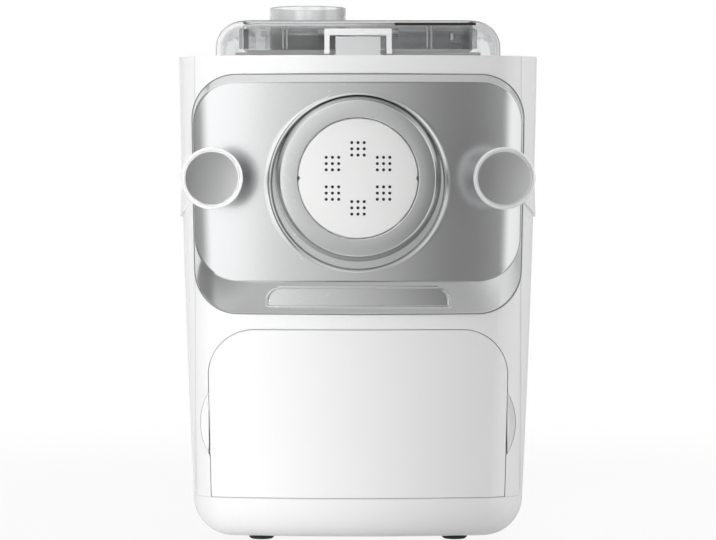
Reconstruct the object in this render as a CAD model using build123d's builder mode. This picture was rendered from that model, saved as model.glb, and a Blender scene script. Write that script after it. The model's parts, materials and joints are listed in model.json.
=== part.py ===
from build123d import *
import math
import os

# Electric pasta maker.
# Millimetres, +Z up, the front faces -Y, +X is the object's right as seen from the front.
# The origin is on the ground under the middle of the object.

# ---------------------------------------------------------------- driving dimensions

# Body outline, seen from above and from the front
overall_depth = 405.0
deck_z = 283.0
parting_z = 27.0
base_bottom_z = 2.6
half_width_low = 96.5
half_width_top = 105.0
side_bulge = 1.05
front_setback_low = 28.5
front_setback_top = 24.5
front_crown_radius = 430.0
front_corner_radius = 25.0
rear_corner_radius = 30.0
base_edge_radius = 23.0
wall = 3.0

# Clearances
seat_gap = 0.15
moving_gap = 0.4
bore_gap = 0.08
hole_gap = 0.2

# Drive line
shaft_drop = 71.0
shaft_radius = 6.0
shaft_chamfer = 0.8
shaft_proud = 2.0

# Mixing chamber, barrel and auger
chamber_setback = 49.5
chamber_length = 155.0
chamber_radius = 62.0
chamber_wall = 2.5
chamber_rim_height = 4.0
chamber_flange_reach = 7.0
chamber_flange_thickness = 2.5
barrel_bore_radius = 27.0
barrel_wall = 5.0
barrel_length = 33.5
seal_gap = 1.5
auger_core_radius = 9.0
auger_gap = 1.0
auger_pitch = 26.0
auger_blade_width = 11.0
auger_blade_root = 2.0
auger_nose_gap = 2.0
auger_end_gap = 1.5
auger_overlap = 12.0
socket_depth = 22.0
paddle_gap = 4.5
paddle_bar = 6.0
paddle_end_margin = 4.0

# Shaping disc and collar
disc_face_radius = 34.2
disc_flange_radius = 38.0
disc_flange_thickness = 3.0
disc_thickness = 10.0
disc_pocket_radius = 30.0
disc_pocket_depth = 5.5
disc_edge_round = 0.6
disc_notch = 2.2
die_hole_radius = 0.9
die_hole_pitch = 3.55
die_group_radius = 16.8
die_group_count = 6
collar_draft = 3.1
collar_base_radius = 47.5
collar_face_radius = collar_base_radius - collar_draft
collar_setback = 3.5
collar_ring_width = 5.5
collar_edge_round = 0.7

# Front panel
panel_drop = 78.0
panel_band_height = 18.8
panel_bevel_height = 4.6
panel_top_margin = 11.2
panel_inset_top = 8.8
panel_inset_low = 6.5
panel_corner_radius = 25.5
panel_proud = 4.0
panel_edge_proud = 1.2
panel_gap = 0.4
panel_rim_lead = 4.4
panel_rim_radius = collar_base_radius + panel_rim_lead
panel_rim_drop = 2.6
panel_rim_section = 2.0
grip_half_width = 52.0
grip_rise = 4.5
grip_height = 10.0
grip_depth = 9.0
grip_wall = 1.5

# Knobs
knob_inset = 20.5
knob_radius = 17.7
knob_face_radius = 15.6
knob_dish = 1.2
knob_rim_width = 1.6
knob_rim_depth = 2.2
knob_waist_depth = 4.6
knob_waist = 1.0
knob_head_length = 9.0
knob_neck_radius = 8.5
knob_neck_length = 18.6
knob_stem_radius = 4.0
nut_across_flats = 13.0
nut_length = 7.0
nut_boss_radius = 9.2
nut_setback = 41.5

# Side pads, the raised skin on the body's corners beside the knobs
pad_radius = 29.5
pad_setback = 61.5
pad_rise = 7.0
pad_proud = 1.4
pad_dive = 0.3

# Front frame, the upper front cover behind the panel
frame_inset = 10.5
frame_rise = 0.7
frame_setback = 46.0
frame_window_gap = 2.0
frame_window_radius = collar_base_radius + collar_ring_width + frame_window_gap

# Lid
lid_half_width = 84.0
lid_setback = 41.5
lid_rear_reach = 36.0
lid_height = 21.5
lid_corner_radius = 24.0
lid_shoulder_radius = 16.0
lid_wall = 2.4
lid_well_floor = 2.0
lid_pour_slot_length = 26.0
lid_pour_slot_width = 3.2
hinge_reach = 9.0
hinge_height = 8.0
hinge_pin_radius = 2.0
hinge_knuckle_radius = 5.0
hinge_spread = 58.0
hinge_knuckle_length = 14.0
hinge_ear_length = 6.0
hinge_pin_proud = 1.0

# Water cup
cup_x = -31.0
cup_setback = 99.0
cup_radius = 23.4
cup_wall = 1.6
cup_height = 27.0
cup_rise = 34.0
cup_foot_round = 2.0
cup_rim_round = 0.6

# Lid latch
latch_half_width = 19.5
latch_bar_height = 4.0
latch_leg_width = 3.0
latch_depth = 4.0
latch_rise = 13.8
latch_lead = 5.5
latch_pin_radius = 1.2
latch_foot_gap = 1.0
latch_edge_round = 0.8
latch_plate_half_width = 13.2
latch_plate_rise = 11.6
latch_plate_round = 1.0
latch_lug_length = 3.4
latch_lug_root = 3.0

# Drawer and its bay
drawer_inset_top = 12.94
drawer_inset_low = 11.05
drawer_top_gap = 4.2
drawer_corner_radius = 27.0
bay_margin = 10.5
bay_wall = 2.0
bay_floor_gap = 1.5
bay_headroom = 18.5
bay_setback = 44.5
tray_side_gap = 2.0
tray_wall = 2.0
tray_floor_gap = 4.5
tray_headroom = 17.0
tray_rail_drop = 31.0
tray_rail_thickness = 3.0
tray_lead = 2.0
tray_rear_gap = 8.0
scoop_rise = 43.0
scoop_radius = 34.0
scoop_width = 6.5
scoop_wall = 2.0
rack_height = 6.0
rack_side_gap = 0.5
rack_corner_radius = 3.0
drawer_post_offsets = (12.0, 50.0)
drawer_post_rise = 9.0
drawer_post_drop = 2.0
spare_disc_gap = 2.0
spare_disc_setback = 48.0
ribbon_slot_ring = 16.0
ribbon_slot_count = 6
ribbon_slot_length = 13.0
ribbon_slot_width = 1.8
tube_hole_ring = 17.0
tube_hole_count = 6
tube_hole_radius = 4.0

# Chassis, gearbox and motor
chassis_gap = 6.0
chassis_thickness = 3.0
chassis_foot_margin = 18.0
chassis_foot_length = 16.0
chassis_foot_rise = 9.0
chassis_foot_reach = 12.0
chassis_top_gap = 9.0
pilot_floor = 1.0
gearbox_depth = 31.0
gearbox_wall = 3.0
gearbox_top_margin = 57.0
gearbox_low_margin = 17.1
gearbox_left_x = -58.0
gearbox_right_x = 78.0
gearbox_corner_radius = 18.0
output_teeth = 50
output_pinion_teeth = 14
output_module = 2.0
motor_gear_teeth = 60
motor_pinion_teeth = 12
motor_module = 1.25
output_gear_width = 13.0
motor_gear_width = 8.0
gear_side_gap = 1.5
mid_pin_x = 35.0
mid_pin_radius = 4.0
tooth_thickness = 0.78
tooth_addendum = 0.95
tooth_dedendum = 1.2
tooth_tip_angle = 24.0
tooth_root_angle = 14.0
gear_window_ring = 30.0
gear_window_count = 6
gear_window_radius = 9.0
gearbox_boss_inset = 9.0
gearbox_boss_radius = 6.0
bearing_outer_radius = 14.0
bearing_width = 7.0
bearing_groove = 0.6
front_bearing_proud = 0.5
rear_bearing_proud = 2.0
motor_radius = 34.0
motor_can_wall = 1.8
motor_length = 88.0
motor_bell_length = 6.0
motor_vent_count = 6
motor_shaft_radius = 4.0
motor_shaft_proud = 1.0
motor_shaft_chamfer = 0.5
motor_air_gap = 1.0
rotor_radius = 22.5
fan_radius = 32.0
fan_blades = 9
fan_width = 9.0
fan_plate = 1.5
fan_blade_angle = 25.0
fan_hub_radius = 8.0
fan_hub_overlap = 1.0
motor_bush_radius = 7.0
motor_screw_spread = 20.0
core_margin = 15.0
magnet_gap = 10.0
rotor_slots = 10
rotor_slot_depth = 14.0
rotor_slot_width = 2.0

# Controls on the rear deck
control_rear_margin = 80.5
control_half_width = 72.0
control_half_depth = 22.0
control_corner_radius = 8.0
bezel_proud = 1.0
display_half_width = 20.0
display_half_depth = 9.0
display_border = 1.0
button_radius = 6.0
button_offsets = (32.0, 52.0)
button_travel = 1.5
button_stem_radius = 2.2
button_edge_round = 0.8
board_drop = 17.0
board_thickness = 1.6
board_corner_radius = 2.0
switch_side = 6.0
switch_height = 4.5
switch_stem_radius = 1.7
switch_stem_height = 1.0
button_flange = 1.4
button_proud = 1.6
bezel_flange = 2.5
bezel_post_inset = 5.0
bezel_post_radius = 3.6

# Rear cover and inlet
rear_cover_half_width = 64.0
rear_cover_rise = 65.0
rear_cover_top_margin = 37.0
rear_cover_corner_radius = 14.0
rear_screw_inset = 8.0
rear_ledge_outer = 5.0
rear_ledge_inner = 13.0
vent_count = 9
vent_pitch = 9.0
vent_half_width = 44.0
vent_height = 3.6
inlet_x = -46.0
inlet_rise = 29.0
inlet_half_width = 15.0
inlet_half_height = 11.0
inlet_wall = 2.5
inlet_corner_radius = 2.0
inlet_depth = 18.0
inlet_flange_reach = 3.0
inlet_pin_recess = 4.0
inlet_pin_pitch = 7.0
inlet_pin_drop = 3.5
inlet_pin_half_width = 0.95
inlet_pin_half_height = 1.95
inlet_pin_gap = 0.05

# Feet and fasteners
foot_radius = 7.4
foot_chamfer = 1.0
foot_inset = 39.7
foot_front_margin = 64.5
foot_rear_margin = 42.5
screw_shank_radius = 1.6
screw_head_radius = 3.2
screw_head_height = 2.2
screw_grip = 8.0
rear_screw_length = 3.6
base_screw_inset = 30.5
base_screw_front_margin = 102.5
base_screw_rear_margin = 67.5
rib_half_width = 7.0
rib_height = 12.0

# ---------------------------------------------------------------- worked-out values

front_y = -overall_depth / 2.0
rear_y = overall_depth / 2.0
half_width_mid = (half_width_low + half_width_top) / 2.0 + side_bulge
shaft_z = deck_z - shaft_drop


def body_half_width(z):
    """Half the body's width at a height: a gentle curve through the low, middle and top widths."""
    t = (z - parting_z) / (deck_z - parting_z)
    low = half_width_low * (1 - t) * (1 - 2 * t)
    mid = half_width_mid * 4 * t * (1 - t)
    top = half_width_top * t * (2 * t - 1)
    return low + mid + top


def body_front_y(z):
    """Front of the body on its middle line at a height."""
    t = (z - parting_z) / (deck_z - parting_z)
    return front_y + front_setback_low + t * (front_setback_top - front_setback_low)


# Chamber, barrel and disc
chamber_front_y = front_y + chamber_setback
chamber_rear_y = chamber_front_y + chamber_length
stem_hole_radius = knob_stem_radius + moving_gap
chamber_outer_radius = chamber_radius + chamber_wall
barrel_radius = barrel_bore_radius + barrel_wall
barrel_front_y = chamber_front_y - barrel_length
auger_radius = barrel_bore_radius - auger_gap
disc_rear_y = barrel_front_y - moving_gap
collar_front_y = front_y + collar_setback
collar_rear_y = body_front_y(shaft_z) + moving_gap + collar_ring_width

# Panel, grip, knobs and frame
panel_low_z = shaft_z - panel_drop
panel_band_z = panel_low_z + panel_band_height
panel_top_z = deck_z - panel_top_margin
panel_bevel_z = panel_top_z - panel_bevel_height
panel_half_width_top = body_half_width(panel_top_z) - panel_inset_top
panel_half_width_low = body_half_width(panel_low_z) - panel_inset_low
panel_face_y = body_front_y(shaft_z) - panel_proud
panel_rear_y = body_front_y(shaft_z) + 2 * front_corner_radius
grip_low_z = panel_low_z + grip_rise
grip_high_z = grip_low_z + grip_height
knob_spread = body_half_width(shaft_z) - knob_inset
nut_front_y = front_y + nut_setback
pad_y = front_y + pad_setback
pad_z = shaft_z + pad_rise
frame_half_width = half_width_top - frame_inset
frame_low_z = panel_band_z + frame_rise
frame_rear_y = front_y + frame_setback

# Lid, cup and latch
lid_front_y = front_y + lid_setback
lid_rear_y = chamber_rear_y + lid_rear_reach
lid_low_z = deck_z + moving_gap
lid_top_z = lid_low_z + lid_height
hinge_y = lid_rear_y + hinge_reach
hinge_z = deck_z + hinge_height
cup_y = lid_front_y + cup_setback
cup_top_z = deck_z + cup_rise
latch_y = lid_front_y - latch_lead
latch_pivot_z = deck_z + latch_rise
latch_plate_top_z = deck_z + latch_plate_rise

# Drawer, bay and tray
bay_half_width = half_width_low - bay_margin
bay_low_z = parting_z + bay_floor_gap
bay_high_z = shaft_z - chamber_outer_radius - bay_headroom
bay_front_y = front_y + bay_setback
bay_rear_y = chamber_rear_y
drawer_top_z = bay_high_z - drawer_top_gap
drawer_half_width_top = body_half_width(drawer_top_z) - drawer_inset_top
drawer_half_width_low = body_half_width(parting_z - wall) - drawer_inset_low
tray_half_width = bay_half_width - bay_wall - tray_side_gap
tray_inner_half = tray_half_width - tray_wall
tray_low_z = bay_low_z + tray_floor_gap
tray_high_z = bay_high_z - tray_headroom
tray_rail_z = bay_high_z - tray_rail_drop
tray_front_y = bay_front_y - tray_lead
tray_rear_y = bay_rear_y - tray_rear_gap
scoop_reach = drawer_half_width_low + scoop_width
scoop_x = scoop_reach - scoop_radius
scoop_z = parting_z + scoop_rise
scoop_floor_y = bay_front_y + wall
drawer_post_z = (tray_low_z + drawer_post_rise, tray_rail_z - drawer_post_drop)
spare_disc_x = tray_inner_half - disc_flange_radius - spare_disc_gap
spare_disc_y = tray_front_y + spare_disc_setback

# Chassis, gearbox and motor
chassis_y = chamber_rear_y + chassis_gap
chassis_half_width = bay_half_width
chassis_top_z = deck_z - chassis_top_gap
chassis_foot_half_width = bay_half_width - chassis_foot_margin
chassis_foot_spread = chassis_foot_half_width - chassis_foot_margin
chassis_foot_y = chassis_y + chassis_foot_reach
chassis_foot_z = base_bottom_z + chassis_foot_rise
gearbox_front_y = chassis_y + chassis_thickness
cover_y = gearbox_front_y + gearbox_depth
output_gear_y = gearbox_front_y + gearbox_wall + gear_side_gap
motor_gear_y = output_gear_y + output_gear_width + gear_side_gap
motor_y = cover_y + gearbox_wall
output_centers = output_module * (output_teeth + output_pinion_teeth) / 2.0
motor_centers = motor_module * (motor_gear_teeth + motor_pinion_teeth) / 2.0
mid_pin_z = shaft_z - math.sqrt(output_centers ** 2 - mid_pin_x ** 2)
motor_z = mid_pin_z - math.sqrt(motor_centers ** 2 - mid_pin_x ** 2)
output_angle = math.atan2(mid_pin_z - shaft_z, mid_pin_x)
motor_angle = math.atan2(motor_z - mid_pin_z, -mid_pin_x)
gearbox_low_z = motor_z - gearbox_low_margin
gearbox_high_z = shaft_z + gearbox_top_margin

# Controls, rear cover, inlet, feet and screws
control_y = rear_y - control_rear_margin
board_z = deck_z - board_drop
rear_cover_low_z = parting_z + rear_cover_rise
rear_cover_high_z = deck_z - rear_cover_top_margin
inlet_z = parting_z + inlet_rise
inlet_pin_points = (
    (inlet_x - inlet_pin_pitch, inlet_z - inlet_pin_drop / 2.0),
    (inlet_x, inlet_z + inlet_pin_drop / 2.0),
    (inlet_x + inlet_pin_pitch, inlet_z - inlet_pin_drop / 2.0),
)
foot_spread = half_width_low - foot_inset
foot_front_y = front_y + foot_front_margin
foot_rear_y = rear_y - foot_rear_margin
base_screw_x = half_width_low - base_screw_inset
base_screw_front_y = front_y + base_screw_front_margin
base_screw_rear_y = rear_y - base_screw_rear_margin
rib_z = (parting_z, parting_z + rib_height)

os.makedirs("parts", exist_ok=True)


def save(piece, name):
    """Label a finished piece and write it as a STEP file of the same name."""
    piece.part.label = name
    export_step(piece.part, "parts/" + name + ".step")


def across(y):
    """Plane facing the front at depth y: its local axes are X and Z, and it extrudes towards -Y."""
    return Plane.XZ.offset(-y)


def body_plan(z, proud):
    """Outline of the body at a height, moved outwards by proud: crowned front, rounded corners."""
    half = body_half_width(z) + proud
    front = body_front_y(z) - proud
    rear = rear_y + proud
    crown = front_crown_radius + proud
    sag = crown - math.sqrt(crown ** 2 - half ** 2)
    with BuildSketch(Plane.XY.offset(z)) as plan:
        with BuildLine():
            ThreePointArc((-half, front + sag), (0, front), (half, front + sag))
            Line((half, front + sag), (half, rear))
            Line((half, rear), (-half, rear))
            Line((-half, rear), (-half, front + sag))
        make_face()
        fillet(plan.vertices().group_by(Axis.Y)[0], front_corner_radius + proud)
        fillet(plan.vertices().group_by(Axis.Y)[-1], rear_corner_radius + proud)
    return plan.sketch


def body_form(proud, low, high):
    """Solid of the body's outer form, moved outwards by proud, between two heights."""
    with BuildPart() as form:
        for z in (low, (low + high) / 2.0, high):
            add(body_plan(z, proud))
        loft()
    return form.part


def body_shell():
    """The whole upper shell: side walls and deck, open below."""
    with BuildPart() as shell:
        add(body_form(0.0, parting_z, deck_z))
        add(body_form(-wall, parting_z - wall, deck_z - wall), mode=Mode.SUBTRACT)
    return shell.part


def bar_along_y(x, z, radius, front, rear):
    """Round bar parallel to Y."""
    with BuildPart() as bar:
        with BuildSketch(across(rear)):
            with Locations((x, z)):
                Circle(radius)
        extrude(amount=rear - front)
    return bar.part


def block(x_range, y_range, z_range):
    """Rectangular block between pairs of limits."""
    with BuildPart() as solid:
        with BuildSketch(Plane.XY.offset(z_range[0])):
            with Locations(((x_range[0] + x_range[1]) / 2.0, (y_range[0] + y_range[1]) / 2.0)):
                Rectangle(x_range[1] - x_range[0], y_range[1] - y_range[0])
        extrude(amount=z_range[1] - z_range[0])
    return solid.part


def drawer_prism(gap):
    """Straight prism through the front with the drawer front's outline, shrunk by gap all round."""
    top = drawer_top_z - gap
    low = parting_z - wall
    with BuildPart() as prism:
        with BuildSketch(across(bay_front_y)) as outline:
            with BuildLine():
                Polyline(
                    (-drawer_half_width_low + gap, low),
                    (-drawer_half_width_top + gap, top),
                    (drawer_half_width_top - gap, top),
                    (drawer_half_width_low - gap, low),
                    close=True,
                )
            make_face()
            fillet(outline.vertices().group_by(Axis.Y)[-1], drawer_corner_radius - gap)
        extrude(amount=bay_front_y - front_y)
    return prism.part


def deck_opening():
    """Prism of the opening in the deck that the mixing chamber hangs in."""
    reach = chamber_outer_radius + seat_gap
    front = chamber_front_y - seat_gap
    rear = chamber_rear_y + seat_gap
    return block((-reach, reach), (front, rear), (deck_z - 2 * wall, deck_z + wall))


def screw_along_y(x, z, head_y, length):
    """Pan-head screw whose head's seat is at head_y and whose shank runs forwards, towards -Y."""
    with BuildPart() as screw:
        add(bar_along_y(x, z, screw_head_radius, head_y, head_y + screw_head_height))
        add(bar_along_y(x, z, screw_shank_radius, head_y - length, head_y))
    return screw.part


def screw_holes_along_y(points, front, rear):
    """Clearance holes for screws parallel to Y."""
    with BuildPart() as holes:
        for x, z in points:
            add(bar_along_y(x, z, screw_shank_radius + hole_gap, front, rear))
    return holes.part


# ---------------------------------------------------------------- base and feet


def base_form(inset):
    """Boat-shaped underbody, moved inwards by inset, its lower edge well rounded."""
    with BuildPart() as form:
        add(body_plan(parting_z, -inset))
        extrude(amount=-(parting_z - base_bottom_z - inset))
        fillet(form.faces().sort_by(Axis.Z)[0].edges(), base_edge_radius - inset)
    return form.part


foot_points = [(x, y) for x in (-foot_spread, foot_spread) for y in (foot_front_y, foot_rear_y)]
base_screw_points = [
    (x, y) for x in (-base_screw_x, base_screw_x) for y in (base_screw_front_y, base_screw_rear_y)
]
base_inner_z = base_bottom_z + wall

with BuildPart() as base_tray:
    add(base_form(0.0))
    add(base_form(wall), mode=Mode.SUBTRACT)
    with BuildSketch(Plane.XY.offset(base_inner_z)):
        with Locations(*base_screw_points):
            Circle(screw_head_radius + wall)
    extrude(amount=parting_z - base_inner_z)
    with BuildSketch(Plane.XY.offset(base_bottom_z)):
        with Locations(*base_screw_points):
            Circle(screw_head_radius + hole_gap)
    extrude(amount=parting_z - base_bottom_z - wall, mode=Mode.SUBTRACT)
    with BuildSketch(Plane.XY.offset(base_bottom_z)):
        with Locations(*base_screw_points):
            Circle(screw_shank_radius + hole_gap)
    extrude(amount=parting_z - base_bottom_z, mode=Mode.SUBTRACT)
    with BuildSketch(Plane.XY.offset(base_inner_z)):
        with Locations((-chassis_foot_spread, chassis_foot_y), (chassis_foot_spread, chassis_foot_y)):
            Circle(screw_head_radius + wall)
    extrude(amount=chassis_foot_z - base_inner_z)
    with BuildSketch(Plane.XY.offset(chassis_foot_z)):
        with Locations((-chassis_foot_spread, chassis_foot_y), (chassis_foot_spread, chassis_foot_y)):
            Circle(screw_shank_radius + bore_gap)
    extrude(amount=-(chassis_foot_z - base_inner_z + pilot_floor), mode=Mode.SUBTRACT)
save(base_tray, "base_tray")

with BuildPart() as rubber_feet:
    with BuildSketch():
        with Locations(*foot_points):
            Circle(foot_radius)
    extrude(amount=base_bottom_z)
    chamfer(rubber_feet.edges().group_by(Axis.Z)[0], foot_chamfer)
save(rubber_feet, "rubber_feet")


# ---------------------------------------------------------------- housing and front frame

rear_screw_points = [
    (x, z)
    for x in (-rear_cover_half_width + rear_screw_inset, rear_cover_half_width - rear_screw_inset)
    for z in (rear_cover_low_z + rear_screw_inset, rear_cover_high_z - rear_screw_inset)
]
rear_cover_inner_y = rear_y - wall


def rear_window(gap, y_low, y_high, reach):
    """Rounded slab in the rear wall, grown by reach and shrunk by gap."""
    with BuildPart() as slab:
        with BuildSketch(across(y_high)):
            with Locations((0, (rear_cover_low_z + rear_cover_high_z) / 2.0)):
                RectangleRounded(
                    2 * (rear_cover_half_width + reach - gap),
                    rear_cover_high_z - rear_cover_low_z + 2 * (reach - gap),
                    rear_cover_corner_radius,
                )
        extrude(amount=y_high - y_low)
    return slab.part


def grip_pocket(grow):
    """Block behind the panel's lower band that the finger grip is sunk into, grown by grow."""
    rear = body_front_y(grip_low_z) + grip_depth
    return block(
        (-grip_half_width - grow, grip_half_width + grow),
        (front_y, rear + grow),
        (grip_low_z - grow, grip_high_z + grow),
    )


def side_pad(side):
    """Raised pad on the corner beside a knob: round below, standing proud there, fading out at its top."""
    with BuildPart() as pad:
        add(body_plan(pad_z - pad_radius, pad_proud))
        add(body_plan(pad_z, -pad_dive))
        loft(ruled=True)
        add(body_form(-wall / 2.0, parting_z, deck_z), mode=Mode.SUBTRACT)
        x_range = sorted((side * (panel_half_width_top + moving_gap), side * (half_width_top + wall)))
        with BuildSketch(Plane.YZ.offset(x_range[0])):
            with Locations((pad_y, pad_z)):
                Circle(pad_radius)
        extrude(amount=x_range[1] - x_range[0], mode=Mode.INTERSECT)
    return pad.part


def scoop_zone(side):
    """Space beside the drawer's bay where a finger scoop may be."""
    x_range = sorted((side * (bay_half_width + seat_gap), side * half_width_top))
    return block(x_range, (front_y, chamber_front_y), (parting_z, drawer_top_z))


panel_grip_zone = block(
    (-grip_half_width - grip_wall, grip_half_width + grip_wall),
    (body_front_y(grip_high_z) - panel_edge_proud, chamber_rear_y),
    (grip_low_z - grip_wall, grip_high_z + grip_wall),
)

frame_block_limits = (
    (-frame_half_width, frame_half_width),
    (front_y - wall, frame_rear_y),
    (frame_low_z, deck_z + wall),
)

with BuildPart() as housing_shell:
    add(body_shell())
    for side in (-1, 1):
        add(side_pad(side))
        cup_rear_y = scoop_floor_y + scoop_wall
        cup = bar_along_y(side * scoop_x, scoop_z, scoop_radius + scoop_wall, front_y, cup_rear_y)
        add(cup & body_form(-wall / 2.0, parting_z, deck_z) & scoop_zone(side))
        hollow = bar_along_y(side * scoop_x, scoop_z, scoop_radius, front_y, scoop_floor_y)
        add(hollow & scoop_zone(side), mode=Mode.SUBTRACT)
    add(block(*frame_block_limits), mode=Mode.SUBTRACT)
    add(drawer_prism(0.0), mode=Mode.SUBTRACT)
    add(deck_opening(), mode=Mode.SUBTRACT)
    add(grip_pocket(grip_wall + moving_gap), mode=Mode.SUBTRACT)
    add(rear_window(0.0, rear_cover_inner_y - wall, rear_cover_inner_y, rear_ledge_outer))
    add(rear_window(0.0, rear_cover_inner_y, rear_y + wall, 0.0), mode=Mode.SUBTRACT)
    add(rear_window(0.0, rear_cover_inner_y - 2 * wall, rear_y, -rear_ledge_inner), mode=Mode.SUBTRACT)
    pilots = [
        bar_along_y(x, z, screw_shank_radius + bore_gap, rear_cover_inner_y - 2 * wall, rear_y)
        for x, z in rear_screw_points
    ]
    add(pilots, mode=Mode.SUBTRACT)
    with BuildSketch(across(rear_y + wall)):
        with Locations((inlet_x, inlet_z)):
            Rectangle(2 * (inlet_half_width + seat_gap), 2 * (inlet_half_height + seat_gap))
    extrude(amount=3 * wall, mode=Mode.SUBTRACT)
    with BuildSketch(Plane.XY.offset(deck_z + wall)):
        with Locations((0, control_y)):
            RectangleRounded(
                2 * (control_half_width + seat_gap),
                2 * (control_half_depth + seat_gap),
                control_corner_radius,
            )
    extrude(amount=-3 * wall, mode=Mode.SUBTRACT)
    for side in (-1, 1):
        rib_x = sorted((side * (base_screw_x - rib_half_width), side * (half_width_low - wall / 2.0)))
        add(block(rib_x, (base_screw_rear_y - rib_half_width, base_screw_rear_y + rib_half_width), rib_z))
    with BuildSketch(Plane.XY.offset(parting_z)):
        with Locations((-base_screw_x, base_screw_rear_y), (base_screw_x, base_screw_rear_y)):
            Circle(screw_shank_radius + bore_gap)
    extrude(amount=screw_grip, mode=Mode.SUBTRACT)
save(housing_shell, "housing_shell")

with BuildPart() as front_frame:
    add(body_shell())
    add(block(*frame_block_limits), mode=Mode.INTERSECT)
    add(bar_along_y(0, shaft_z, frame_window_radius, front_y, frame_rear_y), mode=Mode.SUBTRACT)
    add(deck_opening(), mode=Mode.SUBTRACT)
    for side in (-1, 1):
        boss = bar_along_y(side * knob_spread, shaft_z, nut_boss_radius, front_y, nut_front_y + nut_length)
        add(boss & body_form(-wall / 2.0, parting_z, deck_z))
    for side in (-1, 1):
        with BuildSketch(across(nut_front_y + nut_length)):
            with Locations((side * knob_spread, shaft_z)):
                RegularPolygon(nut_across_flats / 2.0 + seat_gap, 6, major_radius=False)
        extrude(amount=nut_length, mode=Mode.SUBTRACT)
        stem_hole = bar_along_y(side * knob_spread, shaft_z, stem_hole_radius, front_y, chamber_rear_y)
        add(stem_hole, mode=Mode.SUBTRACT)
    keeper_seat = block(
        (-latch_plate_half_width, latch_plate_half_width),
        (latch_y - latch_depth / 2.0, latch_y + latch_depth / 2.0),
        (deck_z - wall / 2.0, deck_z + wall),
    )
    add(keeper_seat, mode=Mode.SUBTRACT)
save(front_frame, "front_frame")

with BuildPart() as clamp_nuts:
    with BuildSketch(across(nut_front_y + nut_length)):
        with Locations((-knob_spread, shaft_z), (knob_spread, shaft_z)):
            RegularPolygon(nut_across_flats / 2.0, 6, major_radius=False)
            Circle(knob_stem_radius + moving_gap, mode=Mode.SUBTRACT)
    extrude(amount=nut_length)
save(clamp_nuts, "clamp_nuts")

with BuildPart() as rear_cover:
    add(rear_window(seat_gap, rear_cover_inner_y, rear_y, 0.0))
    with BuildSketch(across(rear_y + wall)):
        with Locations((0, (rear_cover_low_z + rear_cover_high_z) / 2.0)):
            with GridLocations(0, vent_pitch, 1, vent_count):
                SlotOverall(2 * vent_half_width, vent_height)
    extrude(amount=4 * wall, mode=Mode.SUBTRACT)
    add(screw_holes_along_y(rear_screw_points, rear_y - 3 * wall, rear_y + wall), mode=Mode.SUBTRACT)
    for x, z in rear_screw_points:
        sink = bar_along_y(x, z, screw_head_radius + hole_gap, rear_y - screw_head_height, rear_y + wall)
        add(sink, mode=Mode.SUBTRACT)
save(rear_cover, "rear_cover")


with BuildPart() as housing_screws:
    with BuildSketch(Plane.XY.offset(parting_z - wall - screw_head_height)):
        with Locations(*base_screw_points):
            Circle(screw_head_radius)
    extrude(amount=screw_head_height)
    shank_tops = (
        (base_screw_front_y, bay_low_z + bay_wall),
        (base_screw_rear_y, parting_z + screw_grip - seat_gap),
    )
    for y, shank_top_z in shank_tops:
        with BuildSketch(Plane.XY.offset(parting_z - wall)):
            with Locations((-base_screw_x, y), (base_screw_x, y)):
                Circle(screw_shank_radius)
        extrude(amount=shank_top_z - parting_z + wall)
    for x, z in rear_screw_points:
        add(screw_along_y(x, z, rear_y - screw_head_height, rear_screw_length))
save(housing_screws, "housing_screws")

# ---------------------------------------------------------------- mixing chamber and barrel

chamber_rim_z = deck_z + chamber_rim_height


def trough(radius, front, rear, top):
    """Round-bottomed trough about the shaft's axis, with straight sides up to top."""
    with BuildPart() as form:
        with BuildSketch(across(rear)):
            with Locations((0, shaft_z)):
                Circle(radius)
            with Locations((0, (shaft_z + top) / 2.0)):
                Rectangle(2 * radius, top - shaft_z)
        extrude(amount=rear - front)
    return form.part


with BuildPart() as mixing_chamber:
    add(trough(chamber_outer_radius, chamber_front_y, chamber_rear_y, chamber_rim_z))
    with BuildSketch(Plane.XY.offset(deck_z)):
        with Locations((0, (chamber_front_y + chamber_rear_y) / 2.0)):
            RectangleRounded(
                2 * (chamber_outer_radius + chamber_flange_reach),
                chamber_rear_y - chamber_front_y + chamber_flange_reach,
                chamber_flange_reach,
            )
    extrude(amount=chamber_flange_thickness)
    inner_front = chamber_front_y + chamber_wall
    inner_rear = chamber_rear_y - chamber_wall
    add(trough(chamber_radius, inner_front, inner_rear, chamber_rim_z + wall), mode=Mode.SUBTRACT)
    add(bar_along_y(0, shaft_z, barrel_bore_radius, front_y, inner_front), mode=Mode.SUBTRACT)
    hub_hole = bar_along_y(0, shaft_z, auger_core_radius + moving_gap, inner_rear, chassis_y)
    add(hub_hole, mode=Mode.SUBTRACT)
save(mixing_chamber, "mixing_chamber")

with BuildPart() as extrusion_barrel:
    add(bar_along_y(0, shaft_z, barrel_radius, barrel_front_y, chamber_front_y))
    flange_rear = chamber_front_y
    add(bar_along_y(0, shaft_z, barrel_radius + barrel_wall, flange_rear - chamber_wall, flange_rear))
    add(bar_along_y(0, shaft_z, barrel_bore_radius, front_y, chamber_front_y), mode=Mode.SUBTRACT)
save(extrusion_barrel, "extrusion_barrel")

with BuildPart() as chamber_seal:
    seal_bore = auger_core_radius + moving_gap
    add(bar_along_y(0, shaft_z, seal_bore + wall, chamber_rear_y, chassis_y - seal_gap))
    add(bar_along_y(0, shaft_z, seal_bore, chamber_rear_y, chassis_y), mode=Mode.SUBTRACT)
save(chamber_seal, "chamber_seal")

# ---------------------------------------------------------------- auger, paddle and drive shaft


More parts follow.
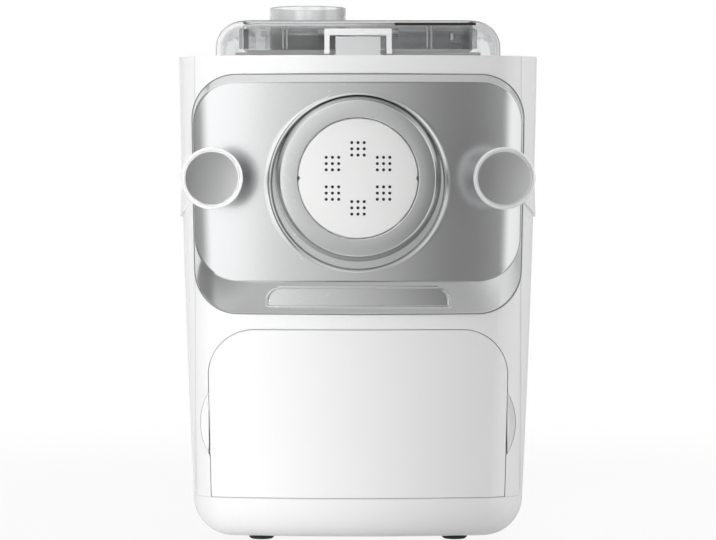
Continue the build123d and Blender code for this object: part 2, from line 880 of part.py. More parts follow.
def screw_blade(start_y, length, turns, inner, outer, width, start_angle):
    """Helical blade: a radial bar turned steadily while it is carried forwards along -Y."""
    with BuildSketch(across(start_y)) as bar:
        with Locations((0, shaft_z)):
            with PolarLocations((inner + outer) / 2.0, 1, start_angle):
                Rectangle(outer - inner, width)
    return Solid.extrude_linear_with_rotation(
        bar.sketch.faces()[0],
        center=(0, start_y, shaft_z),
        normal=(0, -length, 0),
        angle=360.0 * turns,
    )


auger_front_y = barrel_front_y + auger_nose_gap
auger_rear_y = inner_rear - auger_end_gap
auger_blade_rear_y = inner_front + auger_overlap
drive_shaft_front_y = auger_rear_y - socket_depth
paddle_tip_radius = chamber_radius - paddle_gap
first_arm_y = auger_blade_rear_y + paddle_bar
last_arm_y = auger_rear_y - paddle_bar - paddle_end_margin
paddle_arms_y = (first_arm_y, (first_arm_y + last_arm_y) / 2.0, last_arm_y)

with BuildPart() as auger:
    add(bar_along_y(0, shaft_z, auger_core_radius, auger_front_y, auger_rear_y))
    blade_length = auger_blade_rear_y - auger_front_y
    add(
        screw_blade(
            auger_blade_rear_y,
            blade_length,
            blade_length / auger_pitch,
            auger_core_radius - auger_blade_root,
            auger_radius,
            auger_blade_width,
            0.0,
        )
    )
    barrel_bore = bar_along_y(0, shaft_z, auger_radius, auger_front_y, auger_rear_y)
    add(barrel_bore, mode=Mode.INTERSECT)
    socket = bar_along_y(0, shaft_z, shaft_radius + seat_gap, drive_shaft_front_y, auger_rear_y)
    add(socket, mode=Mode.SUBTRACT)
save(auger, "auger")

with BuildPart() as mixing_paddle:
    for arm_y in paddle_arms_y:
        add(bar_along_y(0, shaft_z, auger_core_radius + wall, arm_y - paddle_bar, arm_y + paddle_bar))
        with BuildSketch(across(arm_y + paddle_bar / 2.0)):
            with Locations((0, shaft_z)):
                Rectangle(paddle_bar, 2 * (paddle_tip_radius - paddle_bar / 2.0))
        extrude(amount=paddle_bar)
    for side, first, last in ((1, 0, 1), (-1, 1, 2)):
        bar_z = shaft_z + side * (paddle_tip_radius - paddle_bar)
        y_range = (paddle_arms_y[first] - paddle_bar / 2.0, paddle_arms_y[last] + paddle_bar / 2.0)
        z_range = (bar_z - paddle_bar / 2.0, bar_z + paddle_bar / 2.0)
        add(block((-paddle_bar / 2.0, paddle_bar / 2.0), y_range, z_range))
    core_bore = bar_along_y(0, shaft_z, auger_core_radius + bore_gap, front_y, chamber_rear_y)
    add(core_bore, mode=Mode.SUBTRACT)
save(mixing_paddle, "mixing_paddle")

bearing_front_y = chassis_y - front_bearing_proud
rear_bearing_y = cover_y - rear_bearing_proud
drive_shaft_rear_y = rear_bearing_y + bearing_width + shaft_proud

with BuildPart() as drive_shaft:
    add(bar_along_y(0, shaft_z, shaft_radius, drive_shaft_front_y + seat_gap, drive_shaft_rear_y))
    chamfer(drive_shaft.edges().filter_by(GeomType.CIRCLE), shaft_chamfer)
save(drive_shaft, "drive_shaft")

# ---------------------------------------------------------------- shaping disc and collar

disc_shoulder_y = disc_rear_y - disc_flange_thickness
die_angles = [90.0 + 360.0 / die_group_count * step for step in range(die_group_count)]
die_points = [
    (
        die_group_radius * math.cos(math.radians(angle)) + column * die_hole_pitch,
        shaft_z + die_group_radius * math.sin(math.radians(angle)) + row * die_hole_pitch,
    )
    for angle in die_angles
    for column in (-1, 0, 1)
    for row in (-1, 0, 1)
]


def disc_blank(plane, center):
    """Shaping disc without its dough holes: a flanged plate with a pocket behind."""
    with BuildPart() as blank:
        with BuildSketch(plane):
            with Locations(center):
                Circle(disc_flange_radius)
        extrude(amount=disc_flange_thickness)
        with BuildSketch(plane):
            with Locations(center):
                Circle(disc_face_radius)
        extrude(amount=disc_thickness)
        fillet(blank.edges().group_by(Axis((0, 0, 0), tuple(plane.z_dir)))[-1], disc_edge_round)
        with BuildSketch(plane):
            with Locations(center):
                Circle(disc_pocket_radius)
        extrude(amount=disc_pocket_depth, mode=Mode.SUBTRACT)
    return blank.part


with BuildPart() as shaping_disc:
    add(disc_blank(across(disc_rear_y), (0, shaft_z)))
    with BuildSketch(across(disc_rear_y)):
        with Locations(*die_points):
            Circle(die_hole_radius)
    extrude(amount=disc_thickness, mode=Mode.SUBTRACT)
    with BuildSketch(across(disc_shoulder_y)):
        for side in (-1, 1):
            with Locations((side * disc_face_radius, shaft_z)):
                Rectangle(disc_notch, disc_notch, rotation=45)
    extrude(amount=disc_thickness, mode=Mode.SUBTRACT)
save(shaping_disc, "shaping_disc")

with BuildPart() as disc_collar:
    with BuildSketch(Plane((0, 0, shaft_z), x_dir=(1, 0, 0), z_dir=(0, 0, 1))):
        with BuildLine():
            Polyline(
                (disc_face_radius + moving_gap, collar_front_y),
                (collar_face_radius, collar_front_y),
                (collar_base_radius, panel_face_y),
                (collar_base_radius, panel_face_y + panel_proud),
                (collar_base_radius + collar_ring_width, panel_face_y + panel_proud),
                (collar_base_radius + collar_ring_width, collar_rear_y),
                (disc_flange_radius + moving_gap, collar_rear_y),
                (disc_flange_radius + moving_gap, disc_shoulder_y - moving_gap),
                (disc_face_radius + moving_gap, disc_shoulder_y - moving_gap),
                close=True,
            )
        make_face()
    revolve(axis=Axis((0, 0, shaft_z), (0, 1, 0)))
    fillet(disc_collar.edges().group_by(Axis.Y)[0], collar_edge_round)
save(disc_collar, "disc_collar")

# ---------------------------------------------------------------- front panel


def panel_prism(low, high, inset):
    """Straight prism through the front with the panel's rounded outline, shrunk by inset."""
    with BuildPart() as prism:
        with BuildSketch(across(panel_rear_y)) as outline:
            with BuildLine():
                Polyline(
                    (-panel_half_width_low + inset, low + inset),
                    (-panel_half_width_top + inset, high - inset),
                    (panel_half_width_top - inset, high - inset),
                    (panel_half_width_low - inset, low + inset),
                    close=True,
                )
            make_face()
            fillet(outline.vertices(), panel_corner_radius - inset)
        extrude(amount=panel_rear_y - front_y)
    return prism.part


with BuildPart() as front_panel:
    panel_levels = (
        (panel_low_z, panel_edge_proud),
        (panel_band_z, panel_proud),
        (panel_bevel_z, panel_proud),
        (panel_top_z, panel_edge_proud),
    )
    for z, proud in panel_levels:
        add(body_plan(z, proud))
    loft(ruled=True)
    add(body_form(panel_gap, panel_low_z - wall, panel_top_z + wall), mode=Mode.SUBTRACT)
    add(panel_prism(panel_low_z, panel_top_z, 0.0), mode=Mode.INTERSECT)
    with BuildSketch(across(panel_face_y + panel_proud)):
        with Locations((0, shaft_z - panel_rim_drop)):
            Circle(panel_rim_radius + panel_rim_section)
    extrude(amount=panel_proud + panel_rim_section)
    collar_bore = bar_along_y(0, shaft_z, collar_base_radius, front_y, chamber_rear_y)
    ring_radius = collar_base_radius + collar_ring_width
    ring_bore = bar_along_y(0, shaft_z, ring_radius, panel_face_y + panel_proud, chamber_rear_y)
    with BuildSketch(across(panel_face_y)):
        with Locations((0, shaft_z - panel_rim_drop)):
            Circle(panel_rim_radius - panel_rim_section)
    extrude(amount=panel_proud + panel_rim_section, mode=Mode.SUBTRACT)
    add(collar_bore, mode=Mode.SUBTRACT)
    add(ring_bore, mode=Mode.SUBTRACT)
    add(grip_pocket(grip_wall) & panel_grip_zone)
    add(grip_pocket(0.0), mode=Mode.SUBTRACT)
    for side in (-1, 1):
        stem_hole = bar_along_y(side * knob_spread, shaft_z, stem_hole_radius, front_y, chamber_rear_y)
        add(stem_hole, mode=Mode.SUBTRACT)
save(front_panel, "front_panel")

# ---------------------------------------------------------------- knobs

knob_head_rear_y = front_y + knob_head_length
knob_neck_rear_y = knob_head_rear_y + knob_neck_length
stem_rear_y = nut_front_y + nut_length - seat_gap
socket_radius = knob_stem_radius + seat_gap
waist_point = (knob_radius - knob_waist, front_y + knob_waist_depth)

for side, side_name in ((-1, "left"), (1, "right")):
    with BuildPart() as knob:
        with BuildSketch(Plane((side * knob_spread, 0, shaft_z), x_dir=(1, 0, 0), z_dir=(0, 0, 1))):
            with BuildLine():
                Line((0, front_y + knob_dish), (knob_face_radius, front_y + knob_dish / 2.0))
                Line((knob_face_radius, front_y + knob_dish / 2.0), (knob_face_radius, front_y))
                Line((knob_face_radius, front_y), (knob_radius - knob_rim_width, front_y))
                ThreePointArc(
                    (knob_radius - knob_rim_width, front_y),
                    (knob_radius, front_y + knob_rim_depth),
                    waist_point,
                )
                Line(waist_point, (knob_neck_radius, knob_head_rear_y))
                Line((knob_neck_radius, knob_head_rear_y), (knob_neck_radius, knob_neck_rear_y))
                Line((knob_neck_radius, knob_neck_rear_y), (socket_radius, knob_neck_rear_y))
                Line((socket_radius, knob_neck_rear_y), (socket_radius, knob_head_rear_y))
                Line((socket_radius, knob_head_rear_y), (0, knob_head_rear_y))
                Line((0, knob_head_rear_y), (0, front_y + knob_dish))
            make_face()
        revolve(axis=Axis((side * knob_spread, 0, shaft_z), (0, 1, 0)))
    save(knob, "knob_" + side_name)

    with BuildPart() as knob_stem:
        add(bar_along_y(side * knob_spread, shaft_z, knob_stem_radius, knob_head_rear_y, stem_rear_y))
        chamfer(knob_stem.edges().group_by(Axis.Y)[-1], shaft_chamfer)
    save(knob_stem, "knob_stem_" + side_name)

# ---------------------------------------------------------------- lid


def lid_dome(inset, low):
    """Rounded dome over the chamber, moved inwards by inset, from low up to its crown."""
    with BuildPart() as dome:
        with BuildSketch(Plane.XY.offset(low)):
            with Locations((0, (lid_front_y + lid_rear_y) / 2.0)):
                RectangleRounded(
                    2 * (lid_half_width - inset),
                    lid_rear_y - lid_front_y - 2 * inset,
                    lid_corner_radius - inset,
                )
        extrude(amount=lid_top_z - inset - low)
        fillet(dome.faces().sort_by(Axis.Z)[-1].edges(), lid_shoulder_radius - inset)
    return dome.part


well_radius = cup_radius + moving_gap + lid_wall
cup_low_z = cup_top_z - cup_height
well_low_z = cup_low_z - moving_gap - lid_well_floor

with BuildPart() as lid_shell:
    add(lid_dome(0.0, lid_low_z))
    add(lid_dome(lid_wall, lid_low_z - wall), mode=Mode.SUBTRACT)
    with BuildSketch(Plane.XY.offset(well_low_z)):
        with Locations((cup_x, cup_y)):
            Circle(well_radius)
    extrude(amount=lid_top_z - lid_wall / 2.0 - well_low_z)
    with BuildSketch(Plane.XY.offset(well_low_z + lid_well_floor)):
        with Locations((cup_x, cup_y)):
            Circle(well_radius - lid_wall)
    extrude(amount=lid_top_z - well_low_z, mode=Mode.SUBTRACT)
    with BuildSketch(Plane.XY.offset(well_low_z)):
        with Locations((cup_x, cup_y)):
            with GridLocations(0, 3 * lid_pour_slot_width, 1, 3):
                SlotOverall(lid_pour_slot_length, lid_pour_slot_width)
    extrude(amount=lid_well_floor, mode=Mode.SUBTRACT)
    for side in (-1, 1):
        arm_x = sorted((side * hinge_spread, side * (hinge_spread + hinge_ear_length)))
        arm_center = (hinge_y, hinge_z)
        with BuildSketch(Plane.YZ.offset(arm_x[0])):
            with Locations(arm_center):
                Circle(hinge_knuckle_radius)
            with BuildLine():
                Polyline(
                    (lid_rear_y - lid_wall, hinge_z - hinge_knuckle_radius),
                    (hinge_y, hinge_z - hinge_knuckle_radius),
                    (hinge_y, hinge_z + hinge_knuckle_radius),
                    (lid_rear_y - lid_wall, hinge_z + hinge_knuckle_radius),
                    close=True,
                )
            make_face()
            with Locations(arm_center):
                Circle(hinge_pin_radius + bore_gap, mode=Mode.SUBTRACT)
        extrude(amount=hinge_ear_length)
        lug_x = sorted(
            (
                side * (latch_half_width + moving_gap),
                side * (latch_half_width + moving_gap + latch_lug_length),
            )
        )
        lug_root_y = lid_front_y + lid_wall + latch_lug_root
        with BuildSketch(Plane.YZ.offset(lug_x[0])):
            with Locations((latch_y, latch_pivot_z)):
                Circle(latch_bar_height / 2.0)
            with BuildLine():
                Polyline(
                    (latch_y, latch_pivot_z - latch_bar_height / 2.0),
                    (lug_root_y, latch_pivot_z - latch_bar_height / 2.0),
                    (lug_root_y, latch_pivot_z + latch_bar_height / 2.0),
                    (latch_y, latch_pivot_z + latch_bar_height / 2.0),
                    close=True,
                )
            make_face()
            with Locations((latch_y, latch_pivot_z)):
                Circle(latch_pin_radius, mode=Mode.SUBTRACT)
        extrude(amount=latch_lug_length)
save(lid_shell, "lid_shell")

with BuildPart() as hinge_brackets:
    for side in (-1, 1):
        ear_x = sorted(
            (
                side * (hinge_spread - moving_gap),
                side * (hinge_spread - moving_gap - hinge_knuckle_length),
            )
        )
        with BuildSketch(Plane.YZ.offset(ear_x[0])):
            with Locations((hinge_y, hinge_z)):
                Circle(hinge_knuckle_radius)
            with BuildLine():
                Polyline(
                    (hinge_y - hinge_knuckle_radius, deck_z),
                    (hinge_y - hinge_knuckle_radius, hinge_z),
                    (hinge_y + hinge_knuckle_radius, hinge_z),
                    (hinge_y + hinge_knuckle_radius + wall, deck_z),
                    close=True,
                )
            make_face()
            with Locations((hinge_y, hinge_z)):
                Circle(hinge_pin_radius, mode=Mode.SUBTRACT)
        extrude(amount=hinge_knuckle_length)
save(hinge_brackets, "hinge_brackets")

with BuildPart() as hinge_pins:
    for side in (-1, 1):
        pin_x = sorted(
            (
                side * (hinge_spread - moving_gap - hinge_knuckle_length),
                side * (hinge_spread + hinge_ear_length + hinge_pin_proud),
            )
        )
        with BuildSketch(Plane.YZ.offset(pin_x[0])):
            with Locations((hinge_y, hinge_z)):
                Circle(hinge_pin_radius)
        extrude(amount=pin_x[1] - pin_x[0])
save(hinge_pins, "hinge_pins")

# ---------------------------------------------------------------- water cup

with BuildPart() as water_cup:
    with BuildSketch(Plane.XY.offset(cup_low_z)):
        with Locations((cup_x, cup_y)):
            Circle(cup_radius)
    extrude(amount=cup_height)
    fillet(water_cup.edges().group_by(Axis.Z)[0], cup_foot_round)
    with BuildSketch(Plane.XY.offset(cup_low_z + cup_wall)):
        with Locations((cup_x, cup_y)):
            Circle(cup_radius - cup_wall)
    extrude(amount=cup_height, mode=Mode.SUBTRACT)
    fillet(water_cup.edges().group_by(Axis.Z)[-1], cup_rim_round)
save(water_cup, "water_cup")

# ---------------------------------------------------------------- lid latch

latch_leg_low_z = deck_z + latch_foot_gap
latch_leg_x = latch_half_width - latch_leg_width / 2.0

with BuildPart() as lid_latch:
    with BuildSketch(across(latch_y + latch_depth / 2.0)):
        with Locations((0, latch_pivot_z)):
            Rectangle(2 * latch_half_width, latch_bar_height)
        for side in (-1, 1):
            with Locations((side * latch_leg_x, (latch_pivot_z + latch_leg_low_z) / 2.0)):
                Rectangle(latch_leg_width, latch_pivot_z - latch_leg_low_z)
    extrude(amount=latch_depth)
    fillet(lid_latch.edges().filter_by(Axis.X), latch_edge_round)
    with BuildSketch(Plane.YZ.offset(-latch_half_width)):
        with Locations((latch_y, latch_pivot_z)):
            Circle(latch_pin_radius + bore_gap)
    extrude(amount=2 * latch_half_width, mode=Mode.SUBTRACT)
save(lid_latch, "lid_latch")

with BuildPart() as latch_pin:
    pin_reach = latch_half_width + moving_gap + latch_lug_length
    with BuildSketch(Plane.YZ.offset(-pin_reach)):
        with Locations((latch_y, latch_pivot_z)):
            Circle(latch_pin_radius)
    extrude(amount=2 * pin_reach)
save(latch_pin, "latch_pin")

with BuildPart() as latch_keeper:
    with BuildSketch(across(latch_y + latch_depth / 2.0)):
        with Locations((0, (deck_z - wall / 2.0 + latch_plate_top_z - moving_gap) / 2.0)):
            Rectangle(
                2 * latch_plate_half_width - moving_gap,
                latch_plate_top_z - moving_gap - deck_z + wall / 2.0,
            )
    extrude(amount=latch_depth)
    fillet(latch_keeper.edges().group_by(Axis.Z)[-1].filter_by(Axis.X), latch_plate_round)
save(latch_keeper, "latch_keeper")

# ---------------------------------------------------------------- drawer bay and drawer

bay_inner_half = bay_half_width - bay_wall
rail_reach = tray_side_gap - moving_gap

with BuildPart() as drawer_bay:
    add(block((-bay_half_width, bay_half_width), (bay_front_y, bay_rear_y), (bay_low_z, bay_high_z)))
    inside_y = (bay_front_y - wall, bay_rear_y - bay_wall)
    inside_z = (bay_low_z + bay_wall, bay_high_z - bay_wall)
    add(block((-bay_inner_half, bay_inner_half), inside_y, inside_z), mode=Mode.SUBTRACT)
    for side in (-1, 1):
        rail_x = sorted((side * (bay_inner_half - rail_reach), side * bay_inner_half))
        rail_low = (tray_rail_z - tray_rail_thickness, tray_rail_z)
        add(block(rail_x, (bay_front_y, bay_rear_y - bay_wall), rail_low))
    with BuildSketch(Plane.XY.offset(parting_z)):
        with Locations((-base_screw_x, base_screw_front_y), (base_screw_x, base_screw_front_y)):
            Circle(screw_head_radius + wall)
    extrude(amount=bay_low_z - parting_z)
    with BuildSketch(Plane.XY.offset(parting_z)):
        with Locations((-base_screw_x, base_screw_front_y), (base_screw_x, base_screw_front_y)):
            Circle(screw_shank_radius + bore_gap)
    extrude(amount=bay_low_z + bay_wall - parting_z, mode=Mode.SUBTRACT)
save(drawer_bay, "drawer_bay")

with BuildPart() as drawer_front:
    add(body_form(0.0, parting_z + moving_gap, drawer_top_z + wall))
    add(body_form(-wall, parting_z, drawer_top_z + 2 * wall), mode=Mode.SUBTRACT)
    add(drawer_prism(moving_gap), mode=Mode.INTERSECT)
    for side in (-1, 1):
        for offset_x in drawer_post_offsets:
            post_x = sorted((side * offset_x, side * (offset_x + wall)))
            post = block(post_x, (front_y, tray_front_y), drawer_post_z)
            add(post & body_form(-wall / 2.0, parting_z + moving_gap, drawer_top_z))
save(drawer_front, "drawer_front")

with BuildPart() as drawer_tray:
    add(block((-tray_half_width, tray_half_width), (tray_front_y, tray_rear_y), (tray_low_z, tray_high_z)))
    tray_inner_y = (tray_front_y + tray_wall, tray_rear_y - tray_wall)
    tray_inner_z = (tray_low_z + tray_wall, tray_high_z + wall)
    add(block((-tray_inner_half, tray_inner_half), tray_inner_y, tray_inner_z), mode=Mode.SUBTRACT)
    for side in (-1, 1):
        flange_x = sorted((side * tray_half_width, side * (tray_half_width + rail_reach)))
        flange_z = (tray_rail_z + moving_gap, tray_rail_z + moving_gap + tray_rail_thickness)
        add(block(flange_x, (tray_front_y, tray_rear_y), flange_z))
save(drawer_tray, "drawer_tray")

rack_low_z = tray_low_z + tray_wall
spare_points = ((-spare_disc_x, spare_disc_y), (spare_disc_x, spare_disc_y))

with BuildPart() as disc_rack:
    with BuildSketch(Plane.XY.offset(rack_low_z)):
        with Locations((0, spare_disc_y)):
            RectangleRounded(
                2 * (tray_inner_half - rack_side_gap), 2 * (disc_flange_radius + wall), rack_corner_radius
            )
    extrude(amount=rack_height)
    with BuildSketch(Plane.XY.offset(rack_low_z + rack_height - disc_flange_thickness)):
        with Locations(*spare_points):
            Circle(disc_flange_radius + seat_gap)
    extrude(amount=rack_height, mode=Mode.SUBTRACT)
save(disc_rack, "disc_rack")

spare_plane = Plane.XY.offset(rack_low_z + rack_height - disc_flange_thickness)

with BuildPart() as spare_discs:
    for point in spare_points:
        add(disc_blank(spare_plane, point))
    with BuildSketch(spare_plane):
        with Locations(spare_points[0]):
            with PolarLocations(ribbon_slot_ring, ribbon_slot_count):
                SlotOverall(ribbon_slot_length, ribbon_slot_width, rotation=90)
    extrude(amount=disc_thickness, mode=Mode.SUBTRACT)
    with BuildSketch(spare_plane):
        with Locations(spare_points[1]):
            with PolarLocations(tube_hole_ring, tube_hole_count):
                Circle(tube_hole_radius)
    extrude(amount=disc_thickness, mode=Mode.SUBTRACT)
save(spare_discs, "spare_discs")

# ---------------------------------------------------------------- chassis and gearbox

chassis_foot_points = ((-chassis_foot_spread, chassis_foot_y), (chassis_foot_spread, chassis_foot_y))
gearbox_center = ((gearbox_left_x + gearbox_right_x) / 2.0, (gearbox_low_z + gearbox_high_z) / 2.0)
gearbox_size = (gearbox_right_x - gearbox_left_x, gearbox_high_z - gearbox_low_z)
gearbox_screw_points = [
    (
        gearbox_center[0] + sx * (gearbox_size[0] / 2.0 - gearbox_boss_inset),
        gearbox_center[1] + sz * (gearbox_size[1] / 2.0 - gearbox_boss_inset),
    )
    for sx in (-1, 1)
    for sz in (-1, 1)
]
motor_screw_points = [(side * motor_screw_spread, motor_z) for side in (-1, 1)]


def gearbox_outline(inset):
    """Rounded outline of the gearbox in the current sketch, shrunk by inset."""
    with Locations(gearbox_center):
        RectangleRounded(
            gearbox_size[0] - 2 * inset, gearbox_size[1] - 2 * inset, gearbox_corner_radius - inset
        )


with BuildPart() as chassis_plate:
    plate_y = (chassis_y, chassis_y + chassis_thickness)
    add(block((-chassis_half_width, chassis_half_width), plate_y, (parting_z + wall, chassis_top_z)))
    foot_x = (-chassis_foot_half_width, chassis_foot_half_width)
    add(block(foot_x, plate_y, (chassis_foot_z, parting_z + wall)))
    foot_y = (chassis_y, chassis_y + chassis_thickness + chassis_foot_length)
    add(block(foot_x, foot_y, (chassis_foot_z, chassis_foot_z + chassis_thickness)))
    bearing_hole = bar_along_y(0, shaft_z, bearing_outer_radius + bore_gap, chamber_rear_y, gearbox_front_y)
    add(bearing_hole, mode=Mode.SUBTRACT)
    with BuildSketch(Plane.XY.offset(chassis_foot_z)):
        with Locations(*chassis_foot_points):
            Circle(screw_shank_radius + hole_gap)
    extrude(amount=chassis_thickness, mode=Mode.SUBTRACT)
    for x, z in gearbox_screw_points:
        pilot = bar_along_y(x, z, screw_shank_radius + bore_gap, chamber_rear_y, gearbox_front_y)
        add(pilot, mode=Mode.SUBTRACT)
save(chassis_plate, "chassis_plate")


with BuildPart() as gearbox_housing:
    with BuildSketch(across(cover_y)):
        gearbox_outline(0.0)
    extrude(amount=cover_y - gearbox_front_y)
    with BuildSketch(across(cover_y)):
        gearbox_outline(gearbox_wall)
    extrude(amount=cover_y - gearbox_front_y - gearbox_wall, mode=Mode.SUBTRACT)
    with BuildSketch(across(cover_y)):
        with Locations(*gearbox_screw_points):
            Circle(gearbox_boss_radius)
    extrude(amount=cover_y - gearbox_front_y)
    for x, z in gearbox_screw_points:
        through = bar_along_y(x, z, screw_shank_radius + hole_gap, chamber_rear_y, cover_y)
        add(through, mode=Mode.SUBTRACT)
    bearing_seat = bar_along_y(0, shaft_z, bearing_outer_radius + bore_gap, chamber_rear_y, cover_y)
    add(bearing_seat, mode=Mode.SUBTRACT)
    pin_seat = bar_along_y(mid_pin_x, mid_pin_z, mid_pin_radius + bore_gap, chamber_rear_y, cover_y)
    add(pin_seat, mode=Mode.SUBTRACT)
save(gearbox_housing, "gearbox_housing")

with BuildPart() as gearbox_cover:
    with BuildSketch(across(motor_y)):
        gearbox_outline(0.0)
    extrude(amount=gearbox_wall)
    for x, z in gearbox_screw_points:
        through = bar_along_y(x, z, screw_shank_radius + hole_gap, chamber_rear_y, motor_y)
        add(through, mode=Mode.SUBTRACT)
    for x, z in motor_screw_points:
        through = bar_along_y(x, z, screw_shank_radius + hole_gap, chamber_rear_y, motor_y)
        add(through, mode=Mode.SUBTRACT)
    bearing_seat = bar_along_y(0, shaft_z, bearing_outer_radius + bore_gap, chamber_rear_y, motor_y)
    add(bearing_seat, mode=Mode.SUBTRACT)
    pin_seat = bar_along_y(mid_pin_x, mid_pin_z, mid_pin_radius + bore_gap, chamber_rear_y, motor_y)
    add(pin_seat, mode=Mode.SUBTRACT)
    shaft_hole = bar_along_y(0, motor_z, motor_bush_radius + bore_gap, chamber_rear_y, motor_y)
    add(shaft_hole, mode=Mode.SUBTRACT)
save(gearbox_cover, "gearbox_cover")


with BuildPart() as chassis_screws:
    with BuildSketch(Plane.XY.offset(chassis_foot_z + chassis_thickness)):
        with Locations(*chassis_foot_points):
            Circle(screw_head_radius)
    extrude(amount=screw_head_height)
    with BuildSketch(Plane.XY.offset(chassis_foot_z + chassis_thickness)):
        with Locations(*chassis_foot_points):
            Circle(screw_shank_radius)
    extrude(amount=-screw_grip)
    for x, z in gearbox_screw_points:
        add(screw_along_y(x, z, motor_y, motor_y - chassis_y))
    for x, z in motor_screw_points:
        add(bar_along_y(x, z, screw_head_radius, cover_y - screw_head_height, cover_y))
        add(bar_along_y(x, z, screw_shank_radius, cover_y, motor_y + wall))
save(chassis_screws, "chassis_screws")

with BuildPart() as drive_bearings:
    for start_y in (bearing_front_y, rear_bearing_y):
        with BuildSketch(across(start_y + bearing_width)):
            with Locations((0, shaft_z)):
                Circle(bearing_outer_radius)
                Circle(shaft_radius + bore_gap, mode=Mode.SUBTRACT)
        extrude(amount=bearing_width)
        for face_y, depth in ((start_y, -bearing_groove), (start_y + bearing_width, bearing_groove)):
            with BuildSketch(across(face_y)):
                with Locations((0, shaft_z)):
                    Circle(bearing_outer_radius - wall)
                    Circle(shaft_radius + wall, mode=Mode.SUBTRACT)
            extrude(amount=depth, mode=Mode.SUBTRACT)
save(drive_bearings, "drive_bearings")

with BuildPart() as gear_pin:
    add(bar_along_y(mid_pin_x, mid_pin_z, mid_pin_radius, gearbox_front_y, motor_y))
save(gear_pin, "gear_pin")

# ---------------------------------------------------------------- gears


def gear_outline(teeth, module, center, first_tooth_angle):
    """Straight-flanked gear outline in the current sketch, with a tooth centred on the first angle."""
    pitch_radius = module * teeth / 2.0
    tip_radius = pitch_radius + tooth_addendum * module
    root_radius = pitch_radius - tooth_dedendum * module
    half_pitch = math.pi * module * tooth_thickness / 4.0
    half_tip = half_pitch - tooth_addendum * module * math.tan(math.radians(tooth_tip_angle))
    half_root = half_pitch + tooth_dedendum * module * math.tan(math.radians(tooth_root_angle))
    flank = (
        (root_radius, -half_root),
        (pitch_radius, -half_pitch),
        (tip_radius, -half_tip),
        (tip_radius, half_tip),
        (pitch_radius, half_pitch),
        (root_radius, half_root),
    )
    points = []
    for tooth in range(teeth):
        for radius, half in flank:
            angle = first_tooth_angle + 2.0 * math.pi * tooth / teeth + half / radius
            points.append((center[0] + radius * math.cos(angle), center[1] + radius * math.sin(angle)))
    with BuildLine() as outline:
        Polyline(*points, close=True)
    make_face(outline.edges())


with BuildPart() as output_gear:
    with BuildSketch(across(output_gear_y + output_gear_width)):
        gear_outline(output_teeth, output_module, (0, shaft_z), output_angle)
        with Locations((0, shaft_z)):
            with PolarLocations(gear_window_ring, gear_window_count):
                Circle(gear_window_radius, mode=Mode.SUBTRACT)
            Circle(shaft_radius + bore_gap, mode=Mode.SUBTRACT)
    extrude(amount=output_gear_width)
save(output_gear, "output_gear")

with BuildPart() as mid_gear:
    mid_center = (mid_pin_x, mid_pin_z)
    with BuildSketch(across(motor_gear_y + motor_gear_width)):
        gear_outline(motor_gear_teeth, motor_module, mid_center, motor_angle)
    extrude(amount=motor_gear_width)
    with BuildSketch(across(motor_gear_y)):
        gear_outline(
            output_pinion_teeth,
            output_module,
            mid_center,
            output_angle + math.pi + math.pi / output_pinion_teeth,
        )
    extrude(amount=motor_gear_y - output_gear_y)
    pin_bore = bar_along_y(mid_pin_x, mid_pin_z, mid_pin_radius + bore_gap, chamber_rear_y, cover_y)
    add(pin_bore, mode=Mode.SUBTRACT)
save(mid_gear, "mid_gear")

with BuildPart() as motor_pinion:
    with BuildSketch(across(motor_gear_y + motor_gear_width)):
        gear_outline(
            motor_pinion_teeth,
            motor_module,
            (0, motor_z),
            motor_angle + math.pi + math.pi / motor_pinion_teeth,
        )
        with Locations((0, motor_z)):
            Circle(motor_shaft_radius + bore_gap, mode=Mode.SUBTRACT)
    extrude(amount=motor_gear_width)
save(motor_pinion, "motor_pinion")

# ---------------------------------------------------------------- motor

can_rear_y = motor_y + motor_length
bell_rear_y = can_rear_y + motor_bell_length
core_front_y = motor_y + core_margin
core_rear_y = can_rear_y - core_margin - wall
motor_shaft_front_y = motor_gear_y - motor_shaft_proud
fan_front_y = bell_rear_y + wall
motor_shaft_rear_y = fan_front_y + fan_width + motor_shaft_proud


def ring_along_y(radius, bore, front, rear):
    """Ring about the motor's axis."""
    with BuildPart() as ring:
        with BuildSketch(across(rear)):
            with Locations((0, motor_z)):
                Circle(radius)
                Circle(bore, mode=Mode.SUBTRACT)
        extrude(amount=rear - front)
    return ring.part


with BuildPart() as motor_can:
    add(ring_along_y(motor_radius, motor_radius - motor_can_wall, motor_y, can_rear_y))
    add(ring_along_y(motor_radius, motor_bush_radius + bore_gap, motor_y, motor_y + wall))
    for x, z in motor_screw_points:
        pilot = bar_along_y(x, z, screw_shank_radius + bore_gap, motor_y, motor_y + wall)
        add(pilot, mode=Mode.SUBTRACT)
save(motor_can, "motor_can")

with BuildPart() as motor_bell:
    add(ring_along_y(motor_radius, motor_bush_radius + bore_gap, can_rear_y, bell_rear_y))
    with BuildSketch(across(bell_rear_y)):
        with Locations((0, motor_z)):
            with PolarLocations((motor_radius + motor_bush_radius) / 2.0, motor_vent_count):
                Circle(wall)
    extrude(amount=motor_bell_length, mode=Mode.SUBTRACT)
save(motor_bell, "motor_bell")

with BuildPart() as motor_bushes:
    add(ring_along_y(motor_bush_radius, motor_shaft_radius + bore_gap, cover_y, motor_y + wall))
    add(ring_along_y(motor_bush_radius, motor_shaft_radius + bore_gap, can_rear_y, bell_rear_y))
save(motor_bushes, "motor_bushes")

with BuildPart() as motor_magnets:
    magnet_outer = motor_radius - motor_can_wall - seat_gap
    add(ring_along_y(magnet_outer, rotor_radius + motor_air_gap, core_front_y, core_rear_y))
    split_z = (motor_z - magnet_gap / 2.0, motor_z + magnet_gap / 2.0)
    add(block((-motor_radius, motor_radius), (core_front_y, core_rear_y), split_z), mode=Mode.SUBTRACT)
save(motor_magnets, "motor_magnets")

